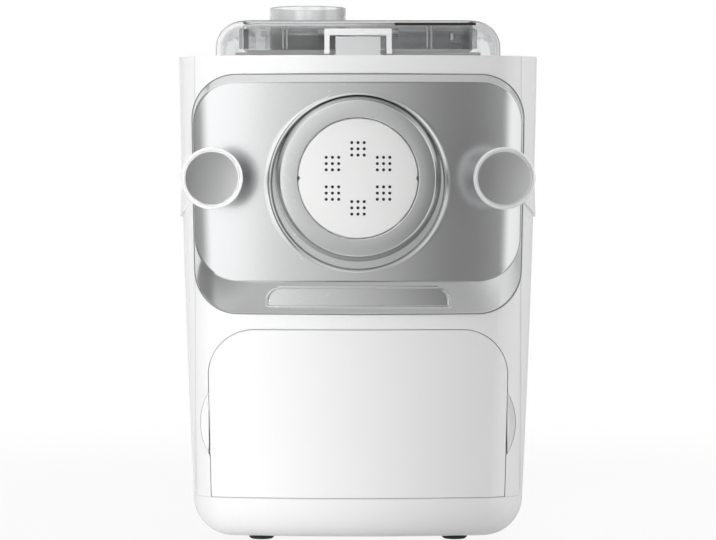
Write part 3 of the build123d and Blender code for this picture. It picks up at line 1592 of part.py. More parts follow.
with BuildPart() as rotor_core:
    add(ring_along_y(rotor_radius, motor_shaft_radius + bore_gap, core_front_y, core_rear_y))
    with BuildSketch(across(core_rear_y)):
        with Locations((0, motor_z)):
            with PolarLocations(rotor_radius, rotor_slots):
                Rectangle(rotor_slot_depth, rotor_slot_width)
    extrude(amount=core_rear_y - core_front_y, mode=Mode.SUBTRACT)
save(rotor_core, "rotor_core")

with BuildPart() as motor_shaft:
    add(bar_along_y(0, motor_z, motor_shaft_radius, motor_shaft_front_y, motor_shaft_rear_y))
    chamfer(motor_shaft.edges().filter_by(GeomType.CIRCLE), motor_shaft_chamfer)
save(motor_shaft, "motor_shaft")

with BuildPart() as cooling_fan:
    add(ring_along_y(fan_hub_radius, motor_shaft_radius + bore_gap, fan_front_y, fan_front_y + fan_width))
    plate_bore = fan_hub_radius - fan_hub_overlap
    add(ring_along_y(fan_radius, plate_bore, fan_front_y, fan_front_y + fan_plate))
    blade_plane = across(fan_front_y + fan_width)
    with BuildSketch(blade_plane):
        with Locations((0, motor_z)):
            with PolarLocations((fan_radius + fan_hub_radius) / 2.0, fan_blades):
                Rectangle(fan_radius - fan_hub_radius, fan_plate, rotation=fan_blade_angle)
        with Locations((0, motor_z)):
            Circle(motor_shaft_radius + bore_gap, mode=Mode.SUBTRACT)
    extrude(amount=fan_width)
save(cooling_fan, "cooling_fan")

# ---------------------------------------------------------------- controls

bezel_top_z = deck_z + bezel_proud
bezel_low_z = deck_z - wall - seat_gap - bezel_flange
board_top_z = board_z + board_thickness
switch_top_z = board_top_z + switch_height
button_points = [(side * offset_x, control_y) for side in (-1, 1) for offset_x in button_offsets]
post_points = [
    (sx * (control_half_width - bezel_post_inset), control_y + sy * (control_half_depth - bezel_post_inset))
    for sx in (-1, 1)
    for sy in (-1, 1)
]

with BuildPart() as control_bezel:
    with BuildSketch(Plane.XY.offset(bezel_low_z)):
        with Locations((0, control_y)):
            RectangleRounded(
                2 * (control_half_width + bezel_flange),
                2 * (control_half_depth + bezel_flange),
                control_corner_radius,
            )
    extrude(amount=bezel_flange)
    with BuildSketch(Plane.XY.offset(bezel_low_z)):
        with Locations((0, control_y)):
            RectangleRounded(2 * control_half_width, 2 * control_half_depth, control_corner_radius)
    extrude(amount=bezel_top_z - bezel_low_z)
    with BuildSketch(Plane.XY.offset(board_top_z)):
        with Locations(*post_points):
            Circle(bezel_post_radius)
    extrude(amount=bezel_low_z - board_top_z)
    with BuildSketch(Plane.XY.offset(board_top_z)):
        with Locations(*post_points):
            Circle(screw_shank_radius + bore_gap)
    extrude(amount=screw_grip, mode=Mode.SUBTRACT)
    with BuildSketch(Plane.XY.offset(bezel_low_z)):
        with Locations(*button_points):
            Circle(button_radius + moving_gap)
        with Locations((0, control_y)):
            Rectangle(2 * (display_half_width + seat_gap), 2 * (display_half_depth + seat_gap))
    extrude(amount=bezel_top_z - bezel_low_z, mode=Mode.SUBTRACT)
save(control_bezel, "control_bezel")

with BuildPart() as display_lens:
    with BuildSketch(Plane.XY.offset(bezel_low_z)):
        with Locations((0, control_y)):
            Rectangle(2 * display_half_width, 2 * display_half_depth)
    extrude(amount=bezel_top_z - bezel_low_z)
save(display_lens, "display_lens")

with BuildPart() as display_module:
    with BuildSketch(Plane.XY.offset(board_top_z)):
        with Locations((0, control_y)):
            Rectangle(2 * (display_half_width - display_border), 2 * (display_half_depth - display_border))
    extrude(amount=bezel_low_z - board_top_z)
save(display_module, "display_module")

with BuildPart() as control_board:
    with BuildSketch(Plane.XY.offset(board_z)):
        with Locations((0, control_y)):
            RectangleRounded(2 * control_half_width, 2 * control_half_depth, board_corner_radius)
        with Locations(*post_points):
            Circle(screw_shank_radius + hole_gap, mode=Mode.SUBTRACT)
    extrude(amount=board_thickness)
save(control_board, "control_board")

with BuildPart() as board_screws:
    with BuildSketch(Plane.XY.offset(board_z)):
        with Locations(*post_points):
            Circle(screw_head_radius)
    extrude(amount=-screw_head_height)
    with BuildSketch(Plane.XY.offset(board_z)):
        with Locations(*post_points):
            Circle(screw_shank_radius)
    extrude(amount=screw_grip)
save(board_screws, "board_screws")

with BuildPart() as key_switches:
    with BuildSketch(Plane.XY.offset(board_top_z)):
        with Locations(*button_points):
            Rectangle(switch_side, switch_side)
    extrude(amount=switch_height - switch_stem_height)
    with BuildSketch(Plane.XY.offset(board_top_z)):
        with Locations(*button_points):
            Circle(switch_stem_radius)
    extrude(amount=switch_height)
save(key_switches, "key_switches")

button_names = ("button_program", "button_weight", "button_start", "button_power")
button_order = sorted(button_points)
for button_name, point in zip(button_names, button_order):
    with BuildPart() as button:
        with BuildSketch(Plane.XY.offset(switch_top_z + button_travel + moving_gap)):
            with Locations(point):
                Circle(button_stem_radius)
        extrude(amount=bezel_low_z - switch_top_z - button_travel)
        with BuildSketch(Plane.XY.offset(bezel_low_z - moving_gap)):
            with Locations(point):
                Circle(button_radius + button_flange)
        extrude(amount=-button_flange)
        with BuildSketch(Plane.XY.offset(bezel_low_z - moving_gap - button_flange)):
            with Locations(point):
                Circle(button_radius)
        extrude(amount=bezel_top_z + button_proud - bezel_low_z + moving_gap + button_flange)
        fillet(button.edges().group_by(Axis.Z)[-1], button_edge_round)
    save(button, button_name)

# ---------------------------------------------------------------- mains inlet


def pin_block(x, z, gap, front, rear):
    """Flat contact pin parallel to Y, grown by gap all round."""
    half_width = inlet_pin_half_width + gap
    half_height = inlet_pin_half_height + gap
    return block((x - half_width, x + half_width), (front, rear), (z - half_height, z + half_height))


with BuildPart() as inlet_socket:
    with BuildSketch(across(rear_y)):
        with Locations((inlet_x, inlet_z)):
            Rectangle(2 * inlet_half_width, 2 * inlet_half_height)
    extrude(amount=inlet_depth)
    with BuildSketch(across(rear_y - wall - seat_gap)):
        with Locations((inlet_x, inlet_z)):
            Rectangle(
                2 * (inlet_half_width + inlet_flange_reach), 2 * (inlet_half_height + inlet_flange_reach)
            )
    extrude(amount=wall)
    with BuildSketch(across(rear_y)):
        with Locations((inlet_x, inlet_z)):
            RectangleRounded(
                2 * (inlet_half_width - inlet_wall),
                2 * (inlet_half_height - inlet_wall),
                inlet_corner_radius,
            )
    extrude(amount=inlet_depth - wall, mode=Mode.SUBTRACT)
    floor_y = rear_y - inlet_depth
    for x, z in inlet_pin_points:
        add(pin_block(x, z, inlet_pin_gap, floor_y, floor_y + wall), mode=Mode.SUBTRACT)
save(inlet_socket, "inlet_socket")

with BuildPart() as inlet_pins:
    for x, z in inlet_pin_points:
        add(pin_block(x, z, 0.0, rear_y - inlet_depth - wall, rear_y - inlet_pin_recess))
save(inlet_pins, "inlet_pins")
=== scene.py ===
"""Looks of the electric pasta maker: surfaces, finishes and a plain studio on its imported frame."""

import json
import math

import bpy
import numpy as np
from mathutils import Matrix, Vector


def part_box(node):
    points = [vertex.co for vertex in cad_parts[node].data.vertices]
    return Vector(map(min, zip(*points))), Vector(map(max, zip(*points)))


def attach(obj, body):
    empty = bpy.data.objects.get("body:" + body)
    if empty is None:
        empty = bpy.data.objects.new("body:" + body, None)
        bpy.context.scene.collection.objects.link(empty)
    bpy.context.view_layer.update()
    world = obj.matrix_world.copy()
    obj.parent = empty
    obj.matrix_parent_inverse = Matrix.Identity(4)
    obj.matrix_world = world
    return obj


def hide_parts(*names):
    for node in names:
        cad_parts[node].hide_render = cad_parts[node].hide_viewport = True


bl_info = {
    "name": "Electric Pasta Maker",
    "version": (1, 0, 0),
    "blender": (4, 5, 0),
    "location": "View3D > Sidebar > Pasta Maker",
    "description": "Surfaces and finishes of an electric pasta maker on its packed frame",
    "category": "Object",
}

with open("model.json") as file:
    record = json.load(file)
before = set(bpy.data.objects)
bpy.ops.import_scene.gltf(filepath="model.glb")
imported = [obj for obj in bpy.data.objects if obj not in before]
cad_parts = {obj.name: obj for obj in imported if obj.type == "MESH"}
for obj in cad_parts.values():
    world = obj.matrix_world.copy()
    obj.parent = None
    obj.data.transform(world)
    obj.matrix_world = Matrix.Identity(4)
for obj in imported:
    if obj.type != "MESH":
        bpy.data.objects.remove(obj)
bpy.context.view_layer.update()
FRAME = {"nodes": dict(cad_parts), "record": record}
FINISH_PREFIX = "finish_"


def low_corner(node):
    """The corner of a node's box at its lowest x, y and z."""
    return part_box(node)[0]


def high_corner(node):
    """The corner of a node's box at its highest x, y and z."""
    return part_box(node)[1]


# Distance of a knob's axis from the middle, and the height that it shares with the auger's shaft.
KNOB_AXIS = tuple((low_corner("knob_right") + high_corner("knob_right")) / 2)[::2]

# Upright parts at the front of the lid's skirt: name, x, half width, top and look.
LID_POSTS = (
    ("lid_post_left", -0.0681, 0.0009, 0.2995, "latch_white"),
    ("lid_post_right", 0.0681, 0.0011, 0.2995, "latch_white"),
    ("lid_catch_left", -0.0651, 0.0014, 0.2985, "lid_catch"),
    ("lid_rib_left_outer", -0.0437, 0.0005, 0.3005, "latch_white"),
    ("lid_rib_left_inner", -0.0415, 0.0005, 0.3005, "latch_white"),
    ("lid_rib_right_inner", 0.0404, 0.0005, 0.3005, "latch_white"),
    ("lid_rib_right_outer", 0.0428, 0.0005, 0.3005, "latch_white"),
    ("lid_catch_right", 0.0565, 0.0040, 0.2905, "lid_catch"),
)

# Soft lights: name, which is also that of its power in the settings, place, point that it faces,
# width and height, and the beam's spread in degrees.
LIGHTS = (
    ("key", (-0.54, -1.60, 0.30), (-0.24, -0.17, 0.16), (0.50, 1.2), 12.0),
    ("strip", (1.35, -0.35, 0.40), (0.0, -0.1, 0.16), (0.35, 1.2), 180.0),
    ("overhead", (0.0, -0.2, 1.5), (0.0, -0.1, 0.16), (1.6, 1.6), 180.0),
)

# The reflected screen: its radius, half the angle that it spans in degrees, its lower and upper
# edge and its brightest level. Then its level along the arc, from 0 at the left to 1 at the right,
# at the object's height and low down.
SCREEN_RADIUS = 2.6
SCREEN_HALF_ANGLE = 100
SCREEN_HEIGHTS = (-2.2, 2.4)
SCREEN_BRIGHTEST = 1.35
SCREEN_LEVELS = (
    (0.0, 0.34),
    (0.24, 0.40),
    (0.335, 1.34),
    (0.40, 1.35),
    (0.42, 0.90),
    (0.50, 0.58),
    (0.535, 0.43),
    (0.575, 0.20),
    (0.610, 0.14),
    (0.632, 0.36),
    (0.665, 0.90),
    (0.70, 1.20),
    (0.80, 1.10),
    (1.0, 0.70),
)
SCREEN_LOW_LEVELS = (
    (0.0, 0.27),
    (0.26, 0.324),
    (0.36, 0.567),
    (0.42, 0.81),
    (0.56, 0.729),
    (0.615, 0.702),
    (0.66, 1.2825),
    (1.0, 1.1475),
)


# ---------------------------------------------------------------- sizes and colours


def length(name, description, default):
    """A length property in metres."""
    return bpy.props.FloatProperty(
        name=name, description=description, default=default, subtype="DISTANCE", unit="LENGTH"
    )


def number(name, description, default):
    """A plain number property."""
    return bpy.props.FloatProperty(name=name, description=description, default=default)


def colour(name, description, default):
    """A colour property, linear RGB."""
    return bpy.props.FloatVectorProperty(
        name=name, description=description, default=default, subtype="COLOR", size=3, min=0, max=1
    )


class BodySizes(bpy.types.PropertyGroup):
    """Outer form of the body that the front pieces follow."""

    low_z: length("Parting height", "Height of the seam over the base", 0.027)
    top_z: length("Deck height", "Height of the deck", 0.283)
    half_low: length("Lower half width", "Half width at the parting seam", 0.0965)
    half_mid: length("Middle half width", "Half width half way up", 0.1018)
    half_top: length("Upper half width", "Half width at the deck", 0.105)
    front_low: length("Lower front", "Depth of the front at the parting seam", -0.174)
    front_top: length("Upper front", "Depth of the front at the deck", -0.178)
    crown: length("Front crown", "Radius of the crowned front", 0.430)
    corner: length("Front corner", "Radius of the front corners", 0.025)
    shaft_z: length("Shaft height", "Height of the shaft, at the collar's middle", KNOB_AXIS[1])


class PanelSizes(bpy.types.PropertyGroup):
    """The silver front panel."""

    low_z: length("Lower edge", "Height of the lower edge", low_corner("front_panel").z)
    band_z: length("Band top", "Height where the tucked lower band begins", 0.1528)
    top_z: length("Upper edge", "Height of the upper edge", high_corner("front_panel").z)
    half_low: length("Lower half width", "Half width at the lower edge", 0.0946)
    half_top: length("Upper half width", "Half width at the upper edge", 0.0960)
    corner: length("Corner radius", "Radius of the outline's corners", 0.0255)
    bevel: length("Bevel", "Width of the bevel over the top", 0.0046)
    side_bevel: length("Side bevel", "Width of the bevel down the sides", 0.0009)
    face_corner: length("Face corner", "Radius of the face's lower corners", 0.0250)
    proud: length("Stand-out", "How far the face stands before the body", 0.0040)
    edge_proud: length("Edge stand-out", "How far the edge stands before the body", 0.0012)
    gap: length("Gap", "Gap between the panel's back and the body", 0.0004)
    rim_radius: length("Rim radius", "Radius of the raised rim round the collar", 0.0519)
    rim_drop: length("Rim drop", "How far the rim's middle lies under the shaft", 0.0026)
    rim_half: length("Rim half width", "Half the width of the raised rim", 0.0012)
    bore: length("Bore", "Radius of the opening for the collar", 0.0478)
    back_ring: length("Back ring", "Radius of the flat ring at the back of the bore", 0.0534)
    face_flare: length("Face flare", "How much wider the face's foot is than the outline's", 0.0004)
    grip_half: length("Grip half width", "Half width of the finger grip", 0.0520)
    grip_low: length("Grip bottom", "Height of the grip's lower lip", 0.1385)
    grip_high: length("Grip top", "Height of the grip's upper edge", 0.1485)
    grip_corner: length("Grip corner", "Radius of the grip's upper corners", 0.0075)
    grip_depth: length("Grip depth", "Depth of the finger grip", 0.0085)
    grip_lip: length("Grip lip", "Height of the soft lip round the finger grip", 0.0002)


class CollarSizes(bpy.types.PropertyGroup):
    """The collar round the shaping disc."""

    front_y: length("Front", "Depth of the front ring", low_corner("disc_collar").y)
    lip: length("Lip", "How far the bore's edge lies behind the front", 0.0002)
    fall: length("Fall", "How far the front ring falls towards its outer edge", 0.0011)
    rear_y: length("Rear", "Depth of the rear ring", high_corner("disc_collar").y)
    bore: length("Front bore", "Radius of the front bore", 0.0346)
    face: length("Face radius", "Outer radius of the front ring", 0.0444)
    base: length("Base radius", "Outer radius at the panel", 0.04778)
    ring: length("Rear ring radius", "Outer radius of the rear ring", 0.0530)
    rear_bore: length("Rear bore", "Radius of the bore over the disc's flange", 0.0384)
    shoulder_y: length("Shoulder", "Depth of the step that the disc's flange seats behind", -0.1903)


class KnobSizes(bpy.types.PropertyGroup):
    """The two clamping knobs."""

    radius: length("Radius", "Outer radius of the head", 0.0177)
    face: length("Face radius", "Radius of the dished face", 0.0156)
    dish: length("Dish", "Depth of the dished face", 0.0012)
    head: length("Head length", "Length of the head", 0.0090)
    flank: length("Flank", "Length of the head's straight flank", 0.0050)
    # The bright edge is partly painted highlight.
    edge: length("Bright edge", "Radius where the bright edge begins", 0.0150)
    neck: length("Neck radius", "Radius of the neck", 0.0085)
    neck_length: length("Neck length", "Length of the neck behind the head", 0.0186)
    bore: length("Stem bore", "Radius of the bore for the stem", 0.00415)


class DieSizes(bpy.types.PropertyGroup):
    """The dough holes of the shaping disc, whose depths are filled with painted shadow."""

    group_radius: length("Group radius", "Distance of a group of holes from the middle", 0.0168)
    pitch: length("Pitch", "Distance between the holes of a group", 0.00355)
    hole: length("Hole", "Radius of the dark channel in a hole", 0.00088)
    sunk: length("Sunk", "How far the dark channel lies behind the face", 0.00035)
    channel: length("Channel length", "Length of the dark channel", 0.001)


class LidSizes(bpy.types.PropertyGroup):
    """The parts inside the clear lid."""

    top_wall: length("Top wall", "Thickness of the lid's top", 0.0024)
    gap: length("Gap", "Gap under the lid's top", 0.0003)
    skirt_low: length("Skirt foot", "Height of the skirt's lower edge", 0.2876)
    skirt_half: length("Skirt half width", "Half width of the skirt", 0.0672)
    skirt_inset: length("Skirt inset", "Distance of the skirt behind the chamber's front", 0.0040)
    skirt_rear: length("Skirt rear", "Depth of the skirt's rear", 0.0240)
    skirt_corner: length("Skirt corner", "Radius of the skirt's corners", 0.0060)
    skirt_wall: length("Skirt wall", "Thickness of the skirt", 0.0014)


class ScoopSizes(bpy.types.PropertyGroup):
    """The shallow dishes in the finger scoops beside the drawer."""

    centre_x: length("Centre distance", "Distance of the arc's centre from the middle", 0.0577)
    centre_z: length("Centre height", "Height of the scoop's arc centre", 0.0700)
    radius: length("Radius", "Radius of the scoop's arc", 0.0339)
    inner_x: length("Inner edge", "Distance of the dish's inner edge from the middle", 0.0868)
    depth: length("Depth", "Depth of the dish", 0.0034)
    edge: length("Edge depth", "Depth at the dish's edge", 0.0006)
    blend: length("Blend", "Width of the slope at the edge", 0.0036)
    thickness: length("Thickness", "Thickness of the dish", 0.0008)


class SeamSizes(bpy.types.PropertyGroup):
    """The seams of the body, laid as painted shadow lines."""

    width: length("Width", "Width of a seam", 0.00035)
    proud: length("Stand-out", "How far the line stands out", 0.00004)
    depth: length("Depth", "How deep the line reaches", 0.0002)
    side_x: length("Side seam", "Distance of the frame's seams from the middle", 0.0947)
    side_low: length("Side seam foot", "Height where the frame's seams begin", 0.0300)
    side_high: length("Side seam top", "Height where the frame's seams end", 0.2826)


class FinishColours(bpy.types.PropertyGroup):
    """Colours of the main finishes."""

    white: colour("White shell", "Glossy white plastic", (0.86, 0.86, 0.865))
    silver: colour("Silver", "Metallic paint of the front panel", (0.74, 0.745, 0.75))
    collar: colour("Collar silver", "Metallic paint of the collar", (0.76, 0.765, 0.77))
    knob: colour("Knob silver", "Satin metal of the knobs", (0.56, 0.563, 0.567))
    # The knobs' bright edge: a lighter rim, made pale and less metallic as painted highlight.
    knob_edge_highlight: colour("Knob edge", "Bright edge of the knobs", (0.92, 0.92, 0.925))
    disc: colour("Shaping disc", "Pale plastic of the discs", (0.84, 0.84, 0.835))
    # The skirt's tint runs from the left colour to the right one; the much darker right side is
    # painted shade.
    smoke_left: colour("Skirt, left", "Smoky tint at the left of the skirt", (0.80, 0.803, 0.806))
    smoke_and_painted_shade_right: colour("Skirt, right", "Smoky tint at the right of the skirt", (0.32, 0.323, 0.327))
    clear: colour("Clear plastic", "Tint of the clear lid and cup", (0.93, 0.935, 0.94))


class StudioSettings(bpy.types.PropertyGroup):
    """Camera and light."""

    camera_distance: length("Camera distance", "Distance of the camera before the origin", 1.80)
    camera_height: length("Camera height", "Height of the camera", 0.212)
    lens: number("Lens", "Focal length in millimetres", 141.7)
    shift: number("Shift", "Vertical shift of the lens", -0.128)
    ambient: number("Ambient", "Strength of the even light", 0.41)
    key: number("Key", "Power of the left light in watts", 1.35)
    strip: number("Strip", "Power of the right light in watts", 6.5)
    overhead: number("Overhead", "Power of the overhead light in watts", 8.0)


# ---------------------------------------------------------------- shader graph


class Value:
    """A number on its way through a material. Arithmetic on it adds Math nodes."""

    def __init__(self, graph, socket):
        self.graph = graph
        self.socket = socket

    def __add__(self, other):
        return self.graph.maths("ADD", self, other)

    __radd__ = __add__

    def __sub__(self, other):
        return self.graph.maths("SUBTRACT", self, other)

    def __rsub__(self, other):
        return self.graph.maths("SUBTRACT", other, self)

    def __mul__(self, other):
        return self.graph.maths("MULTIPLY", self, other)

    __rmul__ = __mul__


class Graph:
    """The nodes of one material or world."""

    def __init__(self, owner):
        owner.use_nodes = True
        self.tree = owner.node_tree
        self.tree.nodes.clear()

    def make(self, kind, settings=None, sockets=None, out=0):
        """Adds a node, sets its settings and feeds its sockets.

        It returns the output named by out as a Value, or a list of Values where out is a tuple."""
        node = self.tree.nodes.new(kind)
        for key, setting in (settings or {}).items():
            if key == "stops":
                self.set_stops(node.color_ramp, setting)
            else:
                setattr(node, key, setting)
        for key, fed in (sockets or {}).items():
            if isinstance(fed, Value):
                self.tree.links.new(fed.socket, node.inputs[key])
            else:
                node.inputs[key].default_value = fed
        if isinstance(out, tuple):
            return [Value(self, node.outputs[name]) for name in out]
        return Value(self, node.outputs[out]) if node.outputs else None

    @staticmethod
    def set_stops(ramp, stops):
        """Puts (position, grey) pairs on a colour ramp."""
        while len(ramp.elements) < len(stops):
            ramp.elements.new(0.5)
        for element, (position, grey) in zip(ramp.elements, stops):
            element.position = position
            element.color = (grey, grey, grey, 1)

    def maths(self, operation, *values):
        """One Math node."""
        return self.make("ShaderNodeMath", {"operation": operation}, dict(enumerate(values)))

    def place(self):
        """Object coordinates, in metres."""
        return self.make("ShaderNodeTexCoord", out="Object")

    def parts(self, vector=None):
        """The x, y and z of a vector, which is the object coordinates unless another is given."""
        fed = {"Vector": vector or self.place()}
        return self.make("ShaderNodeSeparateXYZ", None, fed, out=("X", "Y", "Z"))

    def rising(self, value, start, end):
        """0 before start, 1 after end, and an S-curve between."""
        sockets = {"Value": value, "From Min": start, "From Max": end}
        return self.make("ShaderNodeMapRange", {"interpolation_type": "SMOOTHSTEP"}, sockets)

    def noise(self, scale, detail=2.0, vector=None):
        """Even noise from 0 to 1 whose features are about 1/scale metres."""
        vector = vector or self.place()
        sockets = {"Vector": vector, "Scale": scale, "Detail": detail, "Roughness": 0.5}
        return self.make("ShaderNodeTexNoise", {"noise_dimensions": "3D"}, sockets)

    def stretched(self, factors):
        """Object coordinates scaled along each axis."""
        return self.make("ShaderNodeMapping", None, {"Vector": self.place(), "Scale": factors})

    def blend(self, factor, first, second, way="MIX"):
        """Mixes two colours, or multiplies them where way is MULTIPLY."""
        node = {"data_type": "RGBA", "blend_type": way}
        return self.make("ShaderNodeMix", node, {0: factor, 6: first, 7: second}, out=2)

    def bump(self, height, strength, distance):
        """A normal raised by a height from 0 to 1, over a distance in metres."""
        sockets = {"Height": height, "Strength": strength, "Distance": distance}
        return self.make("ShaderNodeBump", None, sockets)

    def surface(self, sockets):
        """Principled surface to the material's output."""
        shader = self.make("ShaderNodeBsdfPrincipled", None, sockets)
        self.make("ShaderNodeOutputMaterial", None, {"Surface": shader})


def shade(rgb, factor):
    """The colour lightened or darkened by a factor, as RGBA."""
    return tuple(min(1.0, channel * factor) for channel in rgb) + (1.0,)


def new_graph(name):
    """A new material with its empty graph."""
    material = bpy.data.materials.new(FINISH_PREFIX + name)
    return material, Graph(material)


def moulded(name, rgb, roughness=0.3, peel=0.00002, drift=0.015, grain=900.0, coat=0.0):
    """Moulded plastic: faint drift in tone, slightly uneven gloss and a very fine skin.

    Drift is the share by which the tone varies, grain the fineness of the skin, peel its depth."""
    material, graph = new_graph(name)
    tone = graph.noise(9.0, 2.0)
    skin = graph.noise(grain, 3.0)
    graph.surface(
        {
            "Base Color": graph.blend(tone, shade(rgb, 1 - drift), shade(rgb, 1 + drift)),
            "Roughness": roughness + (skin - 0.5) * 0.08 + (tone - 0.5) * 0.05,
            "Coat Weight": coat,
            "Coat Roughness": 0.06,
            "Normal": graph.bump(skin, 0.25, peel),
        }
    )
    return material


def silver_paint(name, rgb, roughness=0.21, metallic=0.97, flank=None):
    """Metallic paint: fine flakes that vary tone and gloss under a thin clear coat.

    A flank is the height of an axis along y and the two radii between which painted shade darkens
    the paint, standing in for the shade and dark reflections on the collar's outer slope."""
    material, graph = new_graph(name)
    flake = graph.noise(5200.0, 1.0)
    cloud = graph.noise(14.0, 2.0)
    tone = (flake - 0.5) * 0.5 + cloud
    paint = graph.blend(tone, shade(rgb, 0.965), shade(rgb, 1.03))
    # Painted shade: the paint darkens across the collar's outer slope, where shade and dark
    # reflections fall.
    if flank:
        x, _, z = graph.parts()
        axis, start, end = flank
        radius = graph.maths("SQRT", x * x + (z - axis) * (z - axis))
        paint = graph.blend(graph.rising(radius, start, end), paint, shade(rgb, 0.55))
    graph.surface(
        {
            "Base Color": paint,
            "Metallic": metallic,
            "Roughness": roughness + (flake - 0.5) * 0.10 + (cloud - 0.5) * 0.03,
            "Coat Weight": 0.15,
            "Coat Roughness": 0.2,
            "Normal": graph.bump(flake, 0.12, 0.00002),
        }
    )
    return material


def knob_metal_with_painted_highlight(name, rgb, edge_highlight_rgb, place, radius):
    """Satin metal of a knob, with a bright edge outside a radius from either knob's axis: partly the
    rim's lighter silver, partly painted highlight, a pale and less metallic band standing in for the
    glint along the rounded rim.
    """
    material, graph = new_graph(name)
    x, _, z = graph.parts()
    across = graph.maths("ABSOLUTE", x) - place[0]
    up = z - place[1]
    from_axis = graph.maths("SQRT", across * across + up * up)
    edge = graph.rising(from_axis, radius - 0.0002, radius + 0.0002)
    grain = graph.noise(3200.0, 2.0)
    cloud = graph.noise(60.0, 2.0)
    satin = graph.blend(cloud, shade(rgb, 0.97), shade(rgb, 1.03))
    graph.surface(
        {
            # Painted highlight, in part: pale, less metallic colour outside the edge radius.
            "Base Color": graph.blend(edge, satin, shade(edge_highlight_rgb, 1.0)),
            "Metallic": 1.0 - edge * 0.75,
            "Roughness": 0.30 - edge * 0.05 + (grain - 0.5) * 0.06,
            "Normal": graph.bump(grain, 0.1, 0.00002),
        }
    )
    return material


def clear_plastic(name, rgb, roughness=0.02):
    """Clear moulded plastic: faint flow marks, drawn out along y, vary tint, gloss and surface."""
    material, graph = new_graph(name)
    flow = graph.noise(40.0, 2.0, graph.stretched((1.0, 0.35, 1.0)))
    graph.surface(
        {
            "Base Color": graph.blend(flow, shade(rgb, 0.985), shade(rgb, 1.0)),
            "Roughness": roughness + flow * 0.02,
            "Transmission Weight": 1.0,
            "IOR": 1.49,
            "Normal": graph.bump(flow, 0.05, 0.0002),
        }
    )
    return material


def milky_plastic(name, rgb):
    """Slightly milky clear plastic: upright bands vary its tint and gloss; the bands of tint are
    painted light and shade standing in for the cup's flutes.
    """
    material, graph = new_graph(name)
    flute_shade_bands = graph.noise(70.0, 1.0, graph.stretched((1.0, 1.0, 0.02)))
    # Painted light and shade: pale and grey upright bands in place of the flutes' shading.
    lit_flute_share = graph.rising(flute_shade_bands, 0.40, 0.60)
    graph.surface(
        {
            "Base Color": graph.blend(lit_flute_share, shade(rgb, 0.68), shade(rgb, 1.08)),
            "Roughness": 0.06 + flute_shade_bands * 0.04,
            "Transmission Weight": 0.8,
            "IOR": 1.22,
        }
    )
    return material


def smoked_plastic_painted_shade(name, left, right):
    """Smoky clear plastic with faint flow marks, whose tint deepens across the part towards the
    right in painted shade.
    """
    material, graph = new_graph(name)
    x, _, _ = graph.parts()
    flow = graph.noise(60.0, 2.0, graph.stretched((1.0, 1.0, 0.25)))
    # Painted shade: the tint darkens from left to right across the lid.
    across = graph.rising(x + (flow - 0.5) * 0.012, -0.022, 0.034)
    graph.surface(
        {
            "Base Color": graph.blend(across, shade(left, 1.0), shade(right, 1.0)),
            "Roughness": 0.03 + flow * 0.03,
            "Transmission Weight": 1.0,
            "IOR": 1.25,
        }
    )
    return material


def bare_metal(name, rgb, roughness=0.3, along=(1.0, 0.04, 1.0), scratch=1800.0):
    """Drawn or turned metal: fine scratches along one axis and a cloudy sheen."""
    material, graph = new_graph(name)
    lines = graph.noise(scratch, 2.0, graph.stretched(along))
    cloud = graph.noise(25.0, 3.0)
    graph.surface(
        {
            "Base Color": graph.blend(cloud, shade(rgb, 0.9), shade(rgb, 1.06)),
            "Metallic": 1.0,
            "Roughness": roughness + (lines - 0.5) * 0.25 + (cloud - 0.5) * 0.08,
            "Normal": graph.bump(lines, 0.2, 0.00003),
        }
    )
    return material


def soft_rubber(name, rgb, roughness=0.75):
    """Matte rubber with a fine powdery grain."""
    material, graph = new_graph(name)
    grain = graph.noise(2200.0, 3.0)
    dust = graph.noise(60.0, 4.0)
    graph.surface(
        {
            "Base Color": graph.blend(dust, shade(rgb, 0.8), shade(rgb, 1.3)),
            "Roughness": roughness + (grain - 0.5) * 0.2,
            "Normal": graph.bump(grain, 0.4, 0.00005),
        }
    )
    return material


def galvanised(name, rgb):
    """Zinc-plated sheet: crystal-like patches of slightly different tone."""
    material, graph = new_graph(name)
    cells = {"Vector": graph.place(), "Scale": 120.0}
    patch = graph.make("ShaderNodeTexVoronoi", None, cells, out="Color")
    grey = graph.make("ShaderNodeSeparateColor", None, {"Color": patch})
    graph.surface(
        {
            "Base Color": graph.blend(grey, shade(rgb, 0.82), shade(rgb, 1.1)),
            "Metallic": 1.0,
            "Roughness": 0.34 + grey * 0.16,
        }
    )
    return material


def circuit_board(name, rgb):
    """Solder mask with darker copper runs under it, laid out on a square net."""
    material, graph = new_graph(name)
    cells = {"Vector": graph.stretched((1.0, 1.0, 0.0)), "Scale": 260.0, "Randomness": 0.35}
    net = graph.make("ShaderNodeTexVoronoi", {"distance": "MANHATTAN"}, cells)
    runs = graph.maths("SMOOTH_MIN", graph.maths("PINGPONG", net * 3.0, 0.5) * 2.0, 1.0, 0.2)
    graph.surface(
        {
            "Base Color": graph.blend(runs, shade(rgb, 0.75), shade(rgb, 1.5)),
            "Roughness": 0.32 + runs * 0.1,
            "Normal": graph.bump(runs, 0.3, 0.00004),
        }
    )
    return material


def wound_core(name, rgb):
    """Stacked iron sheets: thin lines across the stack."""
    material, graph = new_graph(name)
    sheets = {"Vector": graph.place(), "Scale": 420.0, "Distortion": 0.3}
    stack = graph.make("ShaderNodeTexWave", {"bands_direction": "Y"}, sheets, out="Fac")
    graph.surface(
        {
            "Base Color": graph.blend(stack, shade(rgb, 0.7), shade(rgb, 1.2)),
            "Metallic": 0.9,
            "Roughness": 0.42 + stack * 0.15,
            "Normal": graph.bump(stack, 0.3, 0.00008),
        }
    )
    return material


